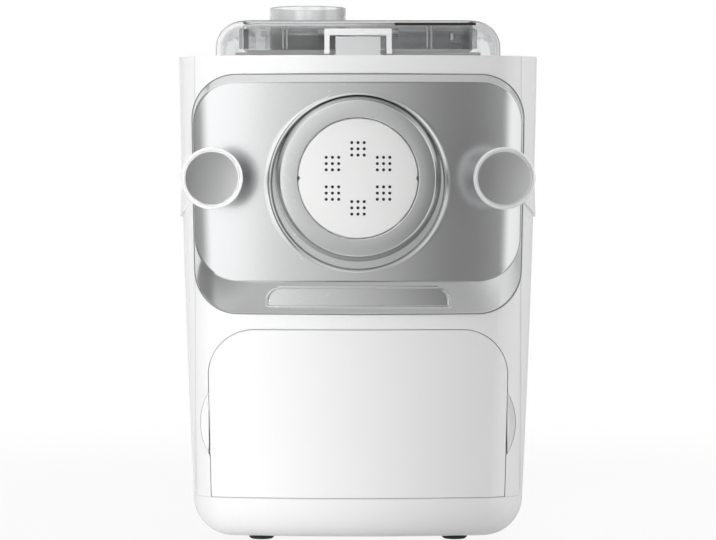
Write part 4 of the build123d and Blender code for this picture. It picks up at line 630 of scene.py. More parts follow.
def finishes(maker):
    """One finish for each material slot of the frame, and one for each further look."""
    paint, face = maker.colours, maker.collar.face
    # The collar's outer slope gets painted shade between these radii.
    flank = (maker.body.shaft_z, face - 0.0004, face + 0.0008)
    edge = maker.knob.edge
    return {
        "white_gloss": moulded("white_gloss", paint.white, 0.22, 0.00001, 0.006, 700.0, 0.3),
        "panel_silver": silver_paint("panel_silver", paint.silver),
        "collar_silver": silver_paint("collar_silver", paint.collar, 0.2, 0.95, flank),
        "knob_silver": knob_metal_with_painted_highlight("knob_silver", paint.knob, paint.knob_edge_highlight, KNOB_AXIS, edge),
        "disc_cream": moulded("disc_cream", paint.disc, 0.38, 0.00003, 0.01, 1400.0),
        "clear_lid": clear_plastic("clear_lid", paint.clear),
        # Painted shade deepens the skirt's tint towards the right.
        "lid_skirt": smoked_plastic_painted_shade("lid_skirt", paint.smoke_left, paint.smoke_and_painted_shade_right),
        "lid_catch": moulded("lid_catch", (0.15, 0.15, 0.155), 0.25),
        # Grey of the seams' painted shadow lines.
        "seam": moulded("seam", (0.60, 0.603, 0.606), 0.5),
        # Dark grey of the painted shadow line in the gap round the panel.
        "gap": moulded("gap", (0.22, 0.222, 0.225), 0.6),
        # Near black for painted shade: the shadow in the dough holes and the dark reflection strip
        # in the lid.
        "die_dark": moulded("die_dark", (0.015, 0.015, 0.015), 0.6),
        "clear_cup": milky_plastic("clear_cup", (0.92, 0.925, 0.93)),
        "latch_white": moulded("latch_white", (0.85, 0.85, 0.85), 0.3),
        "latch_grey": moulded("latch_grey", (0.62, 0.625, 0.63), 0.35),
        "chamber_white": moulded("chamber_white", (0.80, 0.80, 0.795), 0.33),
        "bay_grey": moulded("bay_grey", (0.55, 0.555, 0.56), 0.42),
        "rubber_black": soft_rubber("rubber_black", (0.018, 0.018, 0.019)),
        "seal_grey": soft_rubber("seal_grey", (0.28, 0.28, 0.29), 0.6),
        "auger_plastic": moulded("auger_plastic", (0.30, 0.31, 0.32), 0.36, 0.00004, 0.03, 1100.0),
        "steel": bare_metal("steel", (0.62, 0.62, 0.62)),
        "chassis_zinc": galvanised("chassis_zinc", (0.60, 0.61, 0.63)),
        "gearbox_grey": moulded("gearbox_grey", (0.10, 0.105, 0.11), 0.45, 0.00005, 0.05, 1300.0),
        "gear_nylon": moulded("gear_nylon", (0.76, 0.74, 0.68), 0.4, 0.00003, 0.03, 900.0),
        "brass": bare_metal("brass", (0.78, 0.60, 0.30), 0.28),
        "core_iron": wound_core("core_iron", (0.25, 0.25, 0.26)),
        "dark_gloss": moulded("dark_gloss", (0.012, 0.012, 0.014), 0.08, 0.000005, 0.02, 500.0, 0.5),
        "button_grey": moulded("button_grey", (0.42, 0.425, 0.43), 0.4),
        "board_green": circuit_board("board_green", (0.02, 0.13, 0.055)),
        "black_plastic": moulded("black_plastic", (0.022, 0.022, 0.024), 0.4, 0.00005, 0.05, 1500.0),
    }


# ---------------------------------------------------------------- surfaces


def grid_faces(rows, columns, closed_rows, closed_columns):
    """Quads of a grid of points, row after row, closed along either way if asked."""
    row = np.arange(rows if closed_rows else rows - 1)
    column = np.arange(columns if closed_columns else columns - 1)
    i, j = np.meshgrid(row, column, indexing="ij")
    below = (i + 1) % rows
    right = (j + 1) % columns
    corners = (i * columns + j, below * columns + j, below * columns + right, i * columns + right)
    return np.stack(corners, axis=-1).reshape(-1, 4)


def turn_outwards(mesh):
    """Turns the faces of a closed mesh outwards if its signed volume is negative.

    Six times the volume is the sum over all triangles of (a cross b) times c."""
    mesh.calc_loop_triangles()
    corners = np.zeros(len(mesh.vertices) * 3)
    mesh.vertices.foreach_get("co", corners)
    triangles = np.zeros(len(mesh.loop_triangles) * 3, int)
    mesh.loop_triangles.foreach_get("vertices", triangles)
    a, b, c = corners.reshape(-1, 3)[triangles.reshape(-1, 3)].transpose(1, 0, 2)
    if (np.cross(a, b) * c).sum() < 0:
        mesh.flip_normals()


def add_piece(name, points, faces, body, finish, sharp=38.0, look=None):
    """Makes a closed mesh object from points and faces and lets it ride on a body.

    Its material is that of look where one is given, and else that of finish. Edges that bend
    by more than sharp degrees stay crisp."""
    mesh = bpy.data.meshes.new(name)
    mesh.from_pydata(points.reshape(-1, 3).tolist(), [], faces)
    mesh.validate()
    piece = bpy.data.objects.new(name, mesh)
    bpy.context.scene.collection.objects.link(piece)
    mesh.polygons.foreach_set("use_smooth", np.ones(len(mesh.polygons), bool))
    mesh.set_sharp_from_angle(angle=math.radians(sharp))
    mesh.materials.append(bpy.data.materials[FINISH_PREFIX + (look or finish)])
    turn_outwards(mesh)
    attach(piece, body)
    return piece


def rounded_profile(points, radii, steps=6):
    """A closed outline whose corners are arcs: each arc touches both sides at one distance."""
    corners = np.array(points, float)
    outline = []
    for index, radius in enumerate(radii):
        corner = corners[index]
        before = corners[index - 1] - corner
        after = corners[(index + 1) % len(corners)] - corner
        if radius == 0:
            outline.append(corner)
            continue
        before /= np.linalg.norm(before)
        after /= np.linalg.norm(after)
        half = math.acos(np.clip(before @ after, -1, 1)) / 2
        middle = (before + after) / np.linalg.norm(before + after)
        centre = corner + middle * radius / math.sin(half)
        first = corner + before * radius / math.tan(half) - centre
        last = corner + after * radius / math.tan(half) - centre
        sweep = math.pi - 2 * half
        for step in range(steps + 1):
            share = step / steps
            parts = math.sin((1 - share) * sweep) * first + math.sin(share * sweep) * last
            outline.append(centre + parts / math.sin(sweep))
    return np.array(outline)


def lathe(profile, centre, axis, turns=128):
    """A closed profile of (radius, place along the axis) turned about an axis through centre.

    Each point goes round a circle of its radius; the grid is closed both ways."""
    angle = np.linspace(0, 2 * math.pi, turns, endpoint=False)
    radius = profile[:, :1]
    along = np.broadcast_to(profile[:, 1:], (len(profile), turns))
    across, up = radius * np.cos(angle), radius * np.sin(angle)
    if axis == "Y":
        points = np.stack((centre[0] + across, along, centre[2] + up), axis=-1)
    else:
        points = np.stack((centre[0] + across, centre[1] + up, along), axis=-1)
    return points, grid_faces(len(profile), turns, True, True).tolist()


def lathe_with_poles(profile, centre, axis, turns=128):
    """An open profile turned about the axis, closed by a fan of triangles at either end."""
    ring_points, _ = lathe(profile[1:-1], centre, axis, turns)
    rows = len(profile) - 2
    ends = []
    for _, along in (profile[0], profile[-1]):
        ends.append((centre[0], along, centre[2]) if axis == "Y" else (centre[0], centre[1], along))
    points = np.concatenate((ring_points.reshape(-1, 3), np.array(ends)))
    faces = grid_faces(rows, turns, False, True).tolist()
    ring = np.arange(turns)
    following = (ring + 1) % turns
    first_pole = np.full(turns, rows * turns)
    last = (rows - 1) * turns
    faces += np.stack((first_pole, ring, following), axis=-1).tolist()
    faces += np.stack((first_pole + 1, last + following, last + ring), axis=-1).tolist()
    return points, faces


def half_width(body, z):
    """Half width of the body at a height: a parabola through the low, middle and top widths."""
    t = (z - body.low_z) / (body.top_z - body.low_z)
    low = body.half_low * (1 - t) * (1 - 2 * t)
    return low + body.half_mid * 4 * t * (1 - t) + body.half_top * t * (2 * t - 1)


def front_depth(body, x, z, proud):
    """Depth of the body's front moved outwards by proud.

    A circular arc about the middle line runs into a round corner, tangent to it and to the side."""
    t = (z - body.low_z) / (body.top_z - body.low_z)
    front = body.front_low + t * (body.front_top - body.front_low) - proud
    crown, corner = body.crown + proud, body.corner + proud
    turn = half_width(body, z) + proud - corner
    meet = turn * crown / (crown - corner)
    reach = np.abs(x)
    arc = front + crown - np.sqrt(crown**2 - np.minimum(reach, meet) ** 2)
    centre = front + crown - np.sqrt((crown - corner) ** 2 - turn**2)
    bend = centre - np.sqrt(np.maximum(corner**2 - (reach - turn) ** 2, 0))
    return np.where(reach <= meet, arc, bend)


def smooth_step(value, start, end):
    """0 before start, 1 after end, and an S-curve between."""
    t = np.clip((value - start) / (end - start), 0, 1)
    return t * t * (3 - 2 * t)


def trapezoid_outline(low, high, half_low, half_top, corner_low, corner_top):
    """Rounded trapezoid as points (x, z) from the bottom's middle, anticlockwise from the front.

    Each corner is a quarter of a circle of the corner's radius."""
    quarter = np.linspace(0, math.pi / 2, 40)
    sine, cosine = np.sin(quarter), np.cos(quarter)
    lower = np.column_stack((half_low - corner_low * (1 - sine), low + corner_low * (1 - cosine)))
    upper = np.column_stack((half_top - corner_top * (1 - cosine), high - corner_top * (1 - sine)))
    right = np.concatenate(([[0.0, low]], lower, upper, [[0.0, high]]))
    left = right[-2:0:-1] * (-1, 1)
    return np.concatenate((right, left))


def evenly_spaced(outline, count):
    """Count points along a closed outline at equal distances."""
    closed = np.concatenate((outline, outline[:1]))
    distance = np.concatenate(([0], np.cumsum(np.linalg.norm(np.diff(closed, axis=0), axis=1))))
    wanted = np.linspace(0, distance[-1], count, endpoint=False)
    return np.stack([np.interp(wanted, distance, closed[:, k]) for k in (0, 1)], axis=-1)


def ray_lengths(outline, centre, angles):
    """Distance from the centre to an outline along each angle, from its polar form."""
    offset = evenly_spaced(outline, 4000) - centre
    own = np.unwrap(np.arctan2(offset[:, 1], offset[:, 0]))
    order = np.argsort(np.mod(own, 2 * math.pi))
    ring = np.mod(own, 2 * math.pi)[order]
    distance = np.hypot(*offset.T)[order]
    return np.interp(np.mod(angles, 2 * math.pi), ring, distance, period=2 * math.pi)


# ---------------------------------------------------------------- pieces


def settings():
    """All settings, as the scene holds them."""
    return bpy.context.scene.pasta_maker


class PASTA_OT_finishes(bpy.types.Operator):
    """Make the finishes and give each node of the frame its own"""

    bl_idname = "pasta.finishes"
    bl_label = "Finishes"

    def execute(self, context):
        # A node's slot comes from the record, or else from the material that the frame gave it.
        made = finishes(settings())
        slots = {}
        for entry in FRAME["record"]["materials"]:
            slots.update({node: entry["slot"] for node in entry.get("nodes", [])})
        for name, node in FRAME["nodes"].items():
            slot = slots.get(name) or node.material_slots[0].material.name.split(".")[0]
            for holder in node.material_slots:
                holder.material = made[slot]
            if not node.material_slots:
                node.data.materials.append(made[slot])
        FRAME["nodes"]["water_cup"].material_slots[0].material = made["clear_cup"]
        return {"FINISHED"}


class PASTA_OT_front_panel(bpy.types.Operator):
    """Build the silver front panel with its bevel, lower band, finger grip and raised rim"""

    bl_idname = "pasta.front_panel"
    bl_label = "Front Panel"

    def execute(self, context):
        # A ray goes from the shaft's middle to each point of the outline. Each row below is a ring
        # with one point on every ray and a distance before the body's front, which gives its depth.
        body, panel = settings().body, settings().panel
        centre = np.array((0.0, body.shaft_z))
        outer = trapezoid_outline(
            panel.low_z, panel.top_z, panel.half_low, panel.half_top, panel.corner, panel.corner
        )
        face = trapezoid_outline(
            panel.band_z,
            panel.top_z - panel.bevel,
            panel.half_low + panel.face_flare - panel.side_bevel,
            panel.half_top - panel.side_bevel,
            panel.face_corner,
            panel.corner - panel.bevel / 2,
        )
        rays = evenly_spaced(outer, 800) - centre
        angles = np.arctan2(rays[:, 1], rays[:, 0])
        sine, cosine = np.sin(angles), np.cos(angles)
        edge = ray_lengths(outer, centre, angles)
        inner = ray_lengths(face, centre, angles)

        def rim_ring(radius):
            """Distance along each ray to a circle whose middle lies rim_drop under the shaft."""
            ring = -panel.rim_drop * sine + np.sqrt(radius**2 - (panel.rim_drop * cosine) ** 2)
            return np.maximum(ring, panel.bore + 0.0001)

        rows = []

        def row(radius, proud):
            """Adds a ring at a distance along each ray, proud before the body."""
            rows.append([np.broadcast_to(value, angles.shape) for value in (radius, proud)])

        row(panel.bore, panel.gap)
        row(panel.back_ring, panel.gap)
        edge_section = (  # distance in from the edge, and before the body
            (0.0008, panel.gap),
            (0.0002, panel.gap + 0.0001),
            (0.0, panel.gap + 0.0004),
            (0.0, panel.edge_proud - 0.0003),
            (0.0003, panel.edge_proud),
        )
        for inset, proud in edge_section:
            row(edge - inset, proud)
        first_front = len(rows)

        # The bevel rises in a straight line to a fine crease, then come the flat face, the raised
        # rim, which is a half circle, and a shallow groove down to the bore.
        rise = panel.proud - panel.edge_proud
        for share in np.linspace(0.02, 0.98, 60):
            row(edge + (inner - edge) * share, panel.edge_proud + rise * share)
        crease = ((0.0004, 0.0001), (0.0001, 0.0004), (-0.0001, 0.0004), (-0.0004, 0.0))
        for out, drop in crease:
            row(inner + out, panel.proud - drop)
        outer_rim = rim_ring(panel.rim_radius)
        for share in np.linspace(0.02, 0.99, 22):
            row(inner + (outer_rim - inner) * share, panel.proud)
        for turn in np.linspace(0.1, math.pi - 0.1, 11):
            radius = panel.rim_radius - panel.rim_half * (1 - math.cos(turn))
            row(rim_ring(radius), panel.proud + panel.rim_half * math.sin(turn))
        row(rim_ring(panel.rim_radius - 2 * panel.rim_half - 0.0002), panel.proud - 0.0003)
        row(np.full_like(angles, panel.bore), panel.proud - 0.0005)

        radius = np.stack([entry[0] for entry in rows])
        proud = np.stack([entry[1] for entry in rows])
        x = radius * cosine
        z = centre[1] + radius * sine
        y = front_depth(body, x, z, proud)
        front_rows = np.arange(len(rows))[:, None] >= first_front

        # The grip comes from how far a point lies inside its outline. The pocket sinks in a narrow
        # slope and deepens upwards from a share of its depth. A bell-shaped lip runs round it.
        into_corner = np.clip((z - panel.grip_high + panel.grip_corner) / panel.grip_corner, 0, 1)
        side = panel.grip_half - panel.grip_corner * (1 - np.sqrt(1 - into_corner**2))
        inside = np.minimum(np.minimum(z - panel.grip_low, panel.grip_high - z), side - np.abs(x))
        height = np.clip((z - panel.grip_low) / (panel.grip_high - panel.grip_low), 0, 1)
        foot_share = 0.35
        sinking = foot_share + (1 - foot_share) * smooth_step(height, 0, 0.8)
        pocket = smooth_step(inside, -0.0002, 0.0009) * panel.grip_depth * sinking
        lip_place, lip_width = -0.0007, 0.0004
        lip = np.exp(-(((inside - lip_place) / lip_width) ** 2)) * panel.grip_lip
        y = np.where(front_rows, y + pocket - lip, y)

        points = np.stack((x, y, z), axis=-1)
        faces = grid_faces(len(rows), len(angles), True, True).tolist()
        piece = add_piece("front_panel_face", points, faces, "front_panel", "panel_silver", 50.0)
        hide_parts("front_panel")

        # The gap line is painted shadow: a dark strip on the body round the panel's edge, where
        # shade falls in the gap. Its section: distance out from the panel's edge, and before the
        # body.
        line_section = ((0.0001, 0.0001), (0.0001, 0.0003), (0.0008, 0.0003), (0.0008, 0.0001))
        ring = []
        for out, lift in line_section:
            x = (edge + out) * cosine
            z = centre[1] + (edge + out) * sine
            ring.append(np.stack((x, front_depth(body, x, z, lift), z), axis=-1))
        faces = grid_faces(4, len(angles), True, True).tolist()
        line = np.array(ring)
        add_piece("panel_gap_line", line, faces, "front_panel", "panel_silver", 40.0, "gap")
        return {"FINISHED"}


class PASTA_OT_collar(bpy.types.Operator):
    """Turn the collar round the shaping disc"""

    bl_idname = "pasta.collar"
    bl_label = "Collar"

    def execute(self, context):
        size = settings().collar
        height = settings().body.shaft_z
        proud = settings().panel.proud
        panel_y = float(front_depth(settings().body, 0.0, height, proud))
        back_y = panel_y + proud
        section = np.array(
            (  # radius, depth and rounding of each corner
                (size.bore, size.front_y + size.lip, 0.0005),
                (size.face, size.front_y + size.fall, 0.0007),
                (size.base, panel_y, 0),
                (size.base, back_y, 0),
                (size.ring, back_y, 0.0005),
                (size.ring, size.rear_y, 0.0005),
                (size.rear_bore, size.rear_y, 0.0004),
                (size.rear_bore, size.shoulder_y, 0),
                (size.bore, size.shoulder_y, 0.0003),
            )
        )
        outline = rounded_profile(section[:, :2], section[:, 2])
        points, faces = lathe(outline, (0, 0, height), "Y", 256)
        piece = add_piece("disc_collar_ring", points, faces, "front_panel", "collar_silver")
        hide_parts("disc_collar")
        return {"FINISHED"}


class PASTA_OT_knobs(bpy.types.Operator):
    """Turn the two clamping knobs with their dished faces"""

    bl_idname = "pasta.knobs"
    bl_label = "Knobs"

    def execute(self, context):
        # The profile starts in the middle of the dish, which is a parabola. It goes over the round
        # edge, a part of a circle, and down the flank and the neck, and ends inside the bore.
        size = settings().knob
        soft, chamfer = 0.0006, 0.0004
        for name in ("knob_left", "knob_right"):
            low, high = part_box(name)
            centre = ((low.x + high.x) / 2, 0, (low.z + high.z) / 2)
            front = low.y
            head_rear = front + size.head
            rear = head_rear + size.neck_length
            dish = np.linspace(0, 1, 10)
            bowl_y = front + soft / 2 + size.dish * (1 - dish**2)
            bowl = np.column_stack((dish * size.face, bowl_y))
            lip = (size.radius - size.face) / 2
            turn = np.linspace(0.92 * math.pi, -0.35 * math.pi, 18)
            bead_radius = size.radius - lip + lip * np.cos(turn)
            bead = np.column_stack((bead_radius, front + lip - lip * np.sin(turn)))
            skirt = np.array(
                (
                    (size.radius - soft, front + size.flank),
                    (size.neck + 2 * soft, head_rear - soft),
                    (size.neck, head_rear + soft),
                    (size.neck, rear - chamfer),
                    (size.neck - chamfer, rear),
                    (size.bore, rear),
                    (size.bore, head_rear),
                    (0.0, head_rear),
                )
            )
            profile = np.concatenate((bowl, bead, skirt))
            points, faces = lathe_with_poles(profile, centre, "Y", 128)
            piece = add_piece(name + "_head", points, faces, name, "knob_silver")
            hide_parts(name)
        return {"FINISHED"}


def rounded_bar(x_range, y_range, z_range, soft=0.0003):
    """An upright bar: a rounded rectangle in x and y, drawn in towards its ends over the height.

    Rows follow the height, the first and last row are smaller by soft, and caps close the ends."""
    (x0, x1), (y0, y1), (z0, z1) = x_range, y_range, z_range
    rows = []
    for z, shrink in ((z0, soft), (z0 + soft, 0), (z1 - soft, 0), (z1, soft)):
        corners = (
            (x0 + shrink, y0 + shrink),
            (x1 - shrink, y0 + shrink),
            (x1 - shrink, y1 - shrink),
            (x0 + shrink, y1 - shrink),
        )
        outline = rounded_profile(corners, (soft,) * 4, 3)
        rows.append(np.column_stack((outline, np.full(len(outline), z))))
    points = np.array(rows)
    count = points.shape[1]
    faces = grid_faces(4, count, False, True).tolist()
    faces.append(list(range(count)))
    faces.append(list(range(3 * count, 4 * count))[::-1])
    return points, faces


class PASTA_OT_lid_inside(bpy.types.Operator):
    """Build the smoky skirt, darkened to the right by painted shade, the upright ribs and the small
    catches inside the clear lid
    """

    bl_idname = "pasta.lid_inside"
    bl_label = "Lid Inside"

    def execute(self, context):
        # The skirt is a rounded rectangle carried straight up. Its inner wall is a smaller copy.
        lid = settings().lid
        low, high = lid.skirt_low, high_corner("lid_shell").z - lid.top_wall - lid.gap
        front = low_corner("mixing_chamber").y + lid.skirt_inset
        outline = rounded_profile(
            (
                (-lid.skirt_half, front),
                (lid.skirt_half, front),
                (lid.skirt_half, lid.skirt_rear),
                (-lid.skirt_half, lid.skirt_rear),
            ),
            (lid.skirt_corner,) * 4,
            10,
        )
        centre = outline.mean(axis=0)
        shrink = 1 - lid.skirt_wall / np.abs(outline - centre).max(axis=0)
        inner = centre + (outline - centre) * shrink
        rings = ((outline, low), (outline, high), (inner, high), (inner, low))
        points = np.array([np.column_stack((line, np.full(len(line), z))) for line, z in rings])
        faces = grid_faces(4, len(outline), True, True).tolist()
        add_piece("lid_skirt", points, faces, "lid", "clear_lid", 30.0, "lid_skirt")

        # The upright parts stand just before the skirt. The strip under the lid's front edge is
        # painted reflection: a dark bar standing in for the dark reflection along the lid's edge.
        post_y = (front - 0.0030, front - 0.0008)
        reflection_strip_y = (-0.1655, -0.1640)
        bars = []
        for name, x, half, top, look in LID_POSTS:
            bars.append((name, (x - half, x + half), post_y, (low, top), look))
        bars.append(("lid_clip", (0.0540, 0.0556), post_y, (0.2925, 0.2962), "latch_white"))
        # Painted reflection: a dark bar where the lid's front edge reflects dark.
        bars.append(("lid_seal_strip", (0.0212, 0.0684), reflection_strip_y, (0.3008, 0.3024), "die_dark"))
        for name, x_range, y_range, z_range, look in bars:
            points, faces = rounded_bar(x_range, y_range, z_range)
            add_piece(name, points, faces, "lid", "clear_lid", 30.0, look)
        return {"FINISHED"}


class PASTA_OT_seams(bpy.types.Operator):
    """Lay the thin shadow lines of the seams on the body"""

    bl_idname = "pasta.seams"
    bl_label = "Seams"

    def execute(self, context):
        # The base seam's points gather towards the front's corners, where it bends most.
        body, seam = settings().body, settings().seam
        reach = float(half_width(body, body.low_z))
        x = reach * np.sin(np.linspace(-math.pi / 2, math.pi / 2, 241))
        self.add_strip("base_seam", x, np.full_like(x, body.low_z), (0, 1))
        height = np.linspace(seam.side_low, seam.side_high, 90)
        for name, side in (("frame_seam_left", -1), ("frame_seam_right", 1)):
            self.add_strip(name, np.full_like(height, side * seam.side_x), height, (1, 0))
        return {"FINISHED"}

    @staticmethod
    def add_strip(name, x, z, across):
        """A flat closed strip along points on the body's front.

        Each place has two points just under the surface, a seam's width apart, and two over it."""
        body, seam = settings().body, settings().seam
        rows = []
        for side, proud in ((-1, -seam.depth), (-1, seam.proud), (1, seam.proud), (1, -seam.depth)):
            sx = x + side * across[0] * seam.width / 2
            sz = z + side * across[1] * seam.width / 2
            limit = half_width(body, sz) + proud
            sx = np.clip(sx, -limit, limit)
            rows.append(np.stack((sx, front_depth(body, sx, sz, proud), sz), axis=-1))
        points = np.array(rows)
        count = len(x)
        faces = grid_faces(4, count, True, False).tolist()
        start_cap = [row * count for row in range(4)]
        faces += [start_cap, [corner + count - 1 for corner in reversed(start_cap)]]
        add_piece(name, points, faces, "housing", "white_gloss", 30.0, "seam")


class PASTA_OT_die(bpy.types.Operator):
    """Fill the depth of the dough holes with shadow: six groups of nine short dark rods"""

    bl_idname = "pasta.die"
    bl_label = "Shaping Disc"

    def execute(self, context):
        die = settings().die
        height = settings().body.shaft_z
        face = low_corner("shaping_disc").y
        sides = 16  # of each rod, whose two ends are circles
        turn = np.linspace(0, 2 * math.pi, sides, endpoint=False)
        points, faces = [], []
        for angle in np.radians(np.arange(90, 450, 60)):
            for column in (-1, 0, 1):
                for row in (-1, 0, 1):
                    x = die.group_radius * math.cos(angle) + column * die.pitch
                    z = height + die.group_radius * math.sin(angle) + row * die.pitch
                    around_x = x + die.hole * np.cos(turn)
                    around_z = z + die.hole * np.sin(turn)
                    start = len(points) * sides
                    for y in (face + die.sunk, face + die.sunk + die.channel):
                        points.append(np.stack((around_x, np.full(sides, y), around_z), -1))
                    faces += (grid_faces(2, sides, False, True) + start).tolist()
                    faces.append([start + k for k in range(sides)][::-1])
                    faces.append([start + sides + k for k in range(sides)])
        rods = np.array(points)
        add_piece("die_channels", rods, faces, "shaping_disc", "disc_cream", 30.0, "die_dark")
        return {"FINISHED"}


class PASTA_OT_scoops(bpy.types.Operator):
    """Line the two finger scoops beside the drawer with shallow dishes"""

    bl_idname = "pasta.scoops"
    bl_label = "Finger Scoops"

    def execute(self, context):
        # Rows follow the scoop's arc from foot to top, and stop just short of a quarter turn, so
        # that no end closes to a point. Columns go from the arc to the dish's straight inner edge.
        # The dish sinks in an S-curve from the arc inwards, and is then level.
        body, scoop = settings().body, settings().scoop
        inner = scoop.inner_x
        half_chord = math.sqrt(scoop.radius**2 - (inner - scoop.centre_x) ** 2)
        turn = np.linspace(-1.54, 1.54, 61)[:, None]
        z = scoop.centre_z + half_chord * np.sin(turn)
        outer = scoop.centre_x + np.sqrt(scoop.radius**2 - (z - scoop.centre_z) ** 2)
        across = np.linspace(0, 1, 24)[None, :]
        x = outer + (inner - outer) * across
        into = np.hypot(x - scoop.centre_x, z - scoop.centre_z)
        sunk = smooth_step(scoop.radius - into, 0, scoop.blend)
        depth = scoop.edge + (scoop.depth - scoop.edge) * sunk
        for name, side in (("scoop_dish_left", -1), ("scoop_dish_right", 1)):
            front = front_depth(body, x, z + 0 * x, 0) + depth
            back = front + scoop.thickness
            loop_x = np.concatenate((x, x[:, ::-1]), axis=1) * side
            loop_y = np.concatenate((front, back[:, ::-1]), axis=1)
            points = np.stack((loop_x, loop_y, z + 0 * loop_x), axis=-1)
            count = points.shape[1]
            faces = grid_faces(len(points), count, False, True).tolist()
            last = (len(points) - 1) * count
            faces += [list(range(count)), list(range(last, last + count))[::-1]]
            add_piece(name, points, faces, "housing", "white_gloss", 40.0)
        return {"FINISHED"}


# ---------------------------------------------------------------- studio


class PASTA_OT_studio(bpy.types.Operator):
    """Set up the floor, the lights and the camera"""

    bl_idname = "pasta.studio"
    bl_label = "Studio"

    def execute(self, context):
        studio = settings().studio
        scene = context.scene
        scene.view_settings.view_transform = "Standard"
        self.add_world(scene, studio)
        self.add_floor()
        self.add_reflector()
        for name, place, aim, size, spread in LIGHTS:
            self.add_light(name, place, aim, size, getattr(studio, name), spread)
        camera = bpy.data.objects.new("camera", bpy.data.cameras.new("camera"))
        scene.collection.objects.link(camera)
        camera.location = (0.0, -studio.camera_distance, studio.camera_height)
        camera.rotation_euler = (math.pi / 2, 0, 0)
        camera.data.lens = studio.lens
        camera.data.shift_y = studio.shift
        scene.camera = camera
        return {"FINISHED"}

    @staticmethod
    def add_world(scene, studio):
        """Even light that is white to the camera.

        Gloss sees it greyer to the right, and clear plastic to the sides, up and down."""
        world = bpy.data.worlds.new("studio")
        scene.world = world
        graph = Graph(world)
        seen = any_ray(graph, ("Is Camera Ray",))
        mirrored = any_ray(graph, ("Is Glossy Ray",))
        through = any_ray(graph, ("Is Transmission Ray",))
        direction = graph.make("ShaderNodeTexCoord", out="Generated")
        side, _, rise = graph.parts(direction)
        mirrored = mirrored * (1.0 - graph.rising(side, -0.25, 0.30) * 0.42)
        steep = graph.rising(graph.maths("ABSOLUTE", rise), 0.12, 0.6)
        sideways = graph.rising(graph.maths("ABSOLUTE", side), 0.2, 0.8)
        clear_view = (1.0 - steep * 0.8) * (1.0 - sideways * 0.65)
        shown = graph.maths("MAXIMUM", seen, graph.maths("MAXIMUM", mirrored, through * clear_view))
        shader = graph.make(
            "ShaderNodeBackground",
            None,
            {"Color": (1, 1, 1, 1), "Strength": graph.maths("MAXIMUM", shown, studio.ambient)},
        )
        graph.make("ShaderNodeOutputWorld", None, {"Surface": shader})

    @staticmethod
    def add_floor():
        """A wide pale floor that is pure white to the camera apart from the object's shadow."""
        material, graph = new_graph("floor")
        diffuse = graph.make("ShaderNodeBsdfDiffuse", None, {"Color": (0.8, 0.8, 0.8, 1)})
        white = graph.make("ShaderNodeEmission", None, {"Color": (1, 1, 1, 1), "Strength": 1.0})
        x, y, _ = graph.parts()
        away = graph.maths("SQRT", x * x + y * y)
        seen = any_ray(graph, ("Is Camera Ray", "Is Transmission Ray"))
        share = seen * (0.9 + graph.rising(away, 0.25, 0.7) * 0.1)
        mixed = graph.make("ShaderNodeMixShader", None, {0: share, 1: diffuse, 2: white})
        graph.make("ShaderNodeOutputMaterial", None, {"Surface": mixed})
        bpy.ops.mesh.primitive_plane_add(size=12.0, location=(0, 0, 0))
        floor = bpy.context.object
        floor.name = "floor"
        floor.data.materials.append(material)
        floor.visible_glossy = False

    @staticmethod
    def add_reflector():
        """A graduated screen round the camera, seen only in reflections.

        It is an upright piece of a cylinder about the origin."""
        angle = np.radians(np.linspace(-SCREEN_HALF_ANGLE, SCREEN_HALF_ANGLE, 81))
        a, z = np.meshgrid(angle, np.array(SCREEN_HEIGHTS), indexing="ij")
        points = np.stack((SCREEN_RADIUS * np.sin(a), -SCREEN_RADIUS * np.cos(a), z), axis=-1)
        mesh = bpy.data.meshes.new("reflector")
        faces = grid_faces(len(angle), 2, False, False).tolist()
        mesh.from_pydata(points.reshape(-1, 3).tolist(), [], faces)
        screen = bpy.data.objects.new("reflector", mesh)
        bpy.context.scene.collection.objects.link(screen)
        material, graph = new_graph("reflector")
        x, y, z = graph.parts()
        azimuth = graph.maths("ARCTAN2", x, y * -1.0)
        reach = math.radians(SCREEN_HALF_ANGLE)
        span = {"Value": azimuth, "From Min": -reach, "From Max": reach}
        around = graph.make("ShaderNodeMapRange", None, span)

        def along_arc(levels):
            """A ramp of the levels, as shares of the brightest, because its greys end at 1."""
            stops = [(place, level / SCREEN_BRIGHTEST) for place, level in levels]
            return graph.make("ShaderNodeValToRGB", {"stops": stops}, {"Fac": around})

        high_up = graph.rising(z, -0.80, -0.30)
        ramp = graph.blend(high_up, along_arc(SCREEN_LOW_LEVELS), along_arc(SCREEN_LEVELS))
        upward = 0.72 + graph.rising(z, -0.55, 0.05) * 0.28 + graph.rising(z, 0.35, 0.95) * 0.12
        light = {"Color": graph.blend(1.0, ramp, upward, "MULTIPLY"), "Strength": SCREEN_BRIGHTEST}
        glow = graph.make("ShaderNodeEmission", None, light)
        graph.make("ShaderNodeOutputMaterial", None, {"Surface": glow})
        material.cycles.emission_sampling = "NONE"
        mesh.materials.append(material)
        screen.visible_camera = False
        screen.visible_diffuse = False
        screen.visible_transmission = False
        screen.visible_shadow = False

    @staticmethod
    def add_light(name, place, aim, size, power, spread):
        """A rectangular soft light that faces a point, with its beam's spread in degrees."""
        lamp = bpy.data.lights.new(name, "AREA")
        lamp.shape = "RECTANGLE"
        lamp.size, lamp.size_y = size
        lamp.energy = power
        lamp.spread = math.radians(spread)
        light = bpy.data.objects.new(name, lamp)
        bpy.context.scene.collection.objects.link(light)
        light.location = place
        target = np.array(aim) - np.array(place)
        light.rotation_euler = Vector(target).to_track_quat("-Z", "Y").to_euler()
        light.visible_glossy = False
        light.visible_camera = False
        light.visible_transmission = False


def any_ray(graph, names):
    """1 where any of the named kinds of ray is looking."""
    total, *others = graph.make("ShaderNodeLightPath", out=names)
    for other in others:
        total = graph.maths("MAXIMUM", total, other)
    return total


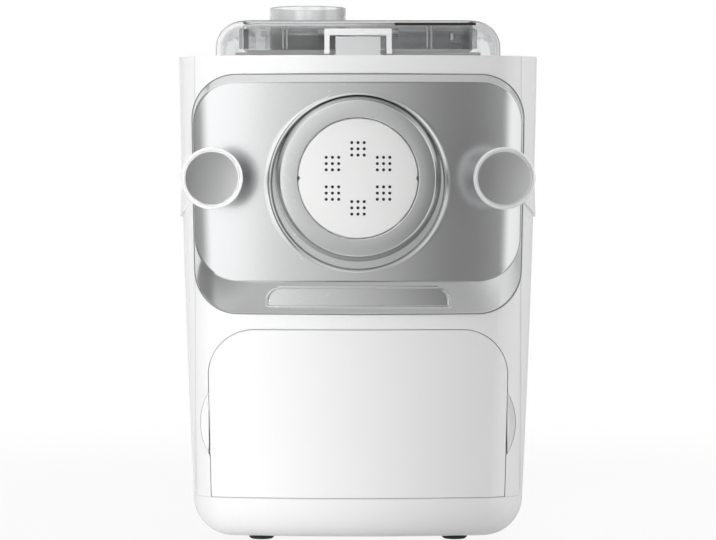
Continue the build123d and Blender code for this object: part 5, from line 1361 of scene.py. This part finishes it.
# ---------------------------------------------------------------- panel and registration


class PastaMaker(bpy.types.PropertyGroup):
    """All settings of the pasta maker."""

    body: bpy.props.PointerProperty(type=BodySizes)
    panel: bpy.props.PointerProperty(type=PanelSizes)
    collar: bpy.props.PointerProperty(type=CollarSizes)
    knob: bpy.props.PointerProperty(type=KnobSizes)
    die: bpy.props.PointerProperty(type=DieSizes)
    lid: bpy.props.PointerProperty(type=LidSizes)
    scoop: bpy.props.PointerProperty(type=ScoopSizes)
    seam: bpy.props.PointerProperty(type=SeamSizes)
    colours: bpy.props.PointerProperty(type=FinishColours)
    studio: bpy.props.PointerProperty(type=StudioSettings)


OPERATORS = (
    PASTA_OT_finishes,
    PASTA_OT_front_panel,
    PASTA_OT_collar,
    PASTA_OT_knobs,
    PASTA_OT_die,
    PASTA_OT_lid_inside,
    PASTA_OT_scoops,
    PASTA_OT_seams,
    PASTA_OT_studio,
)


class PASTA_PT_sidebar(bpy.types.Panel):
    """Buttons for each group of pieces."""

    bl_label = "Pasta Maker"
    bl_space_type = "VIEW_3D"
    bl_region_type = "UI"
    bl_category = "Pasta Maker"

    def draw(self, context):
        for operator in OPERATORS:
            self.layout.operator(operator.bl_idname)


GROUPS = (
    BodySizes,
    PanelSizes,
    CollarSizes,
    KnobSizes,
    DieSizes,
    LidSizes,
    ScoopSizes,
    SeamSizes,
    FinishColours,
    StudioSettings,
    PastaMaker,
)


def register():
    """Registers the classes and gives the scene its settings."""
    for group in GROUPS + OPERATORS + (PASTA_PT_sidebar,):
        bpy.utils.register_class(group)
    bpy.types.Scene.pasta_maker = bpy.props.PointerProperty(type=PastaMaker)


def unregister():
    """Undoes register."""
    del bpy.types.Scene.pasta_maker
    for group in reversed(GROUPS + OPERATORS + (PASTA_PT_sidebar,)):
        bpy.utils.unregister_class(group)


def main():
    """Builds everything in order."""
    register()
    for operator in OPERATORS:
        family, call = operator.bl_idname.split(".")
        getattr(getattr(bpy.ops, family), call)()


if __name__ == "__main__":
    main()
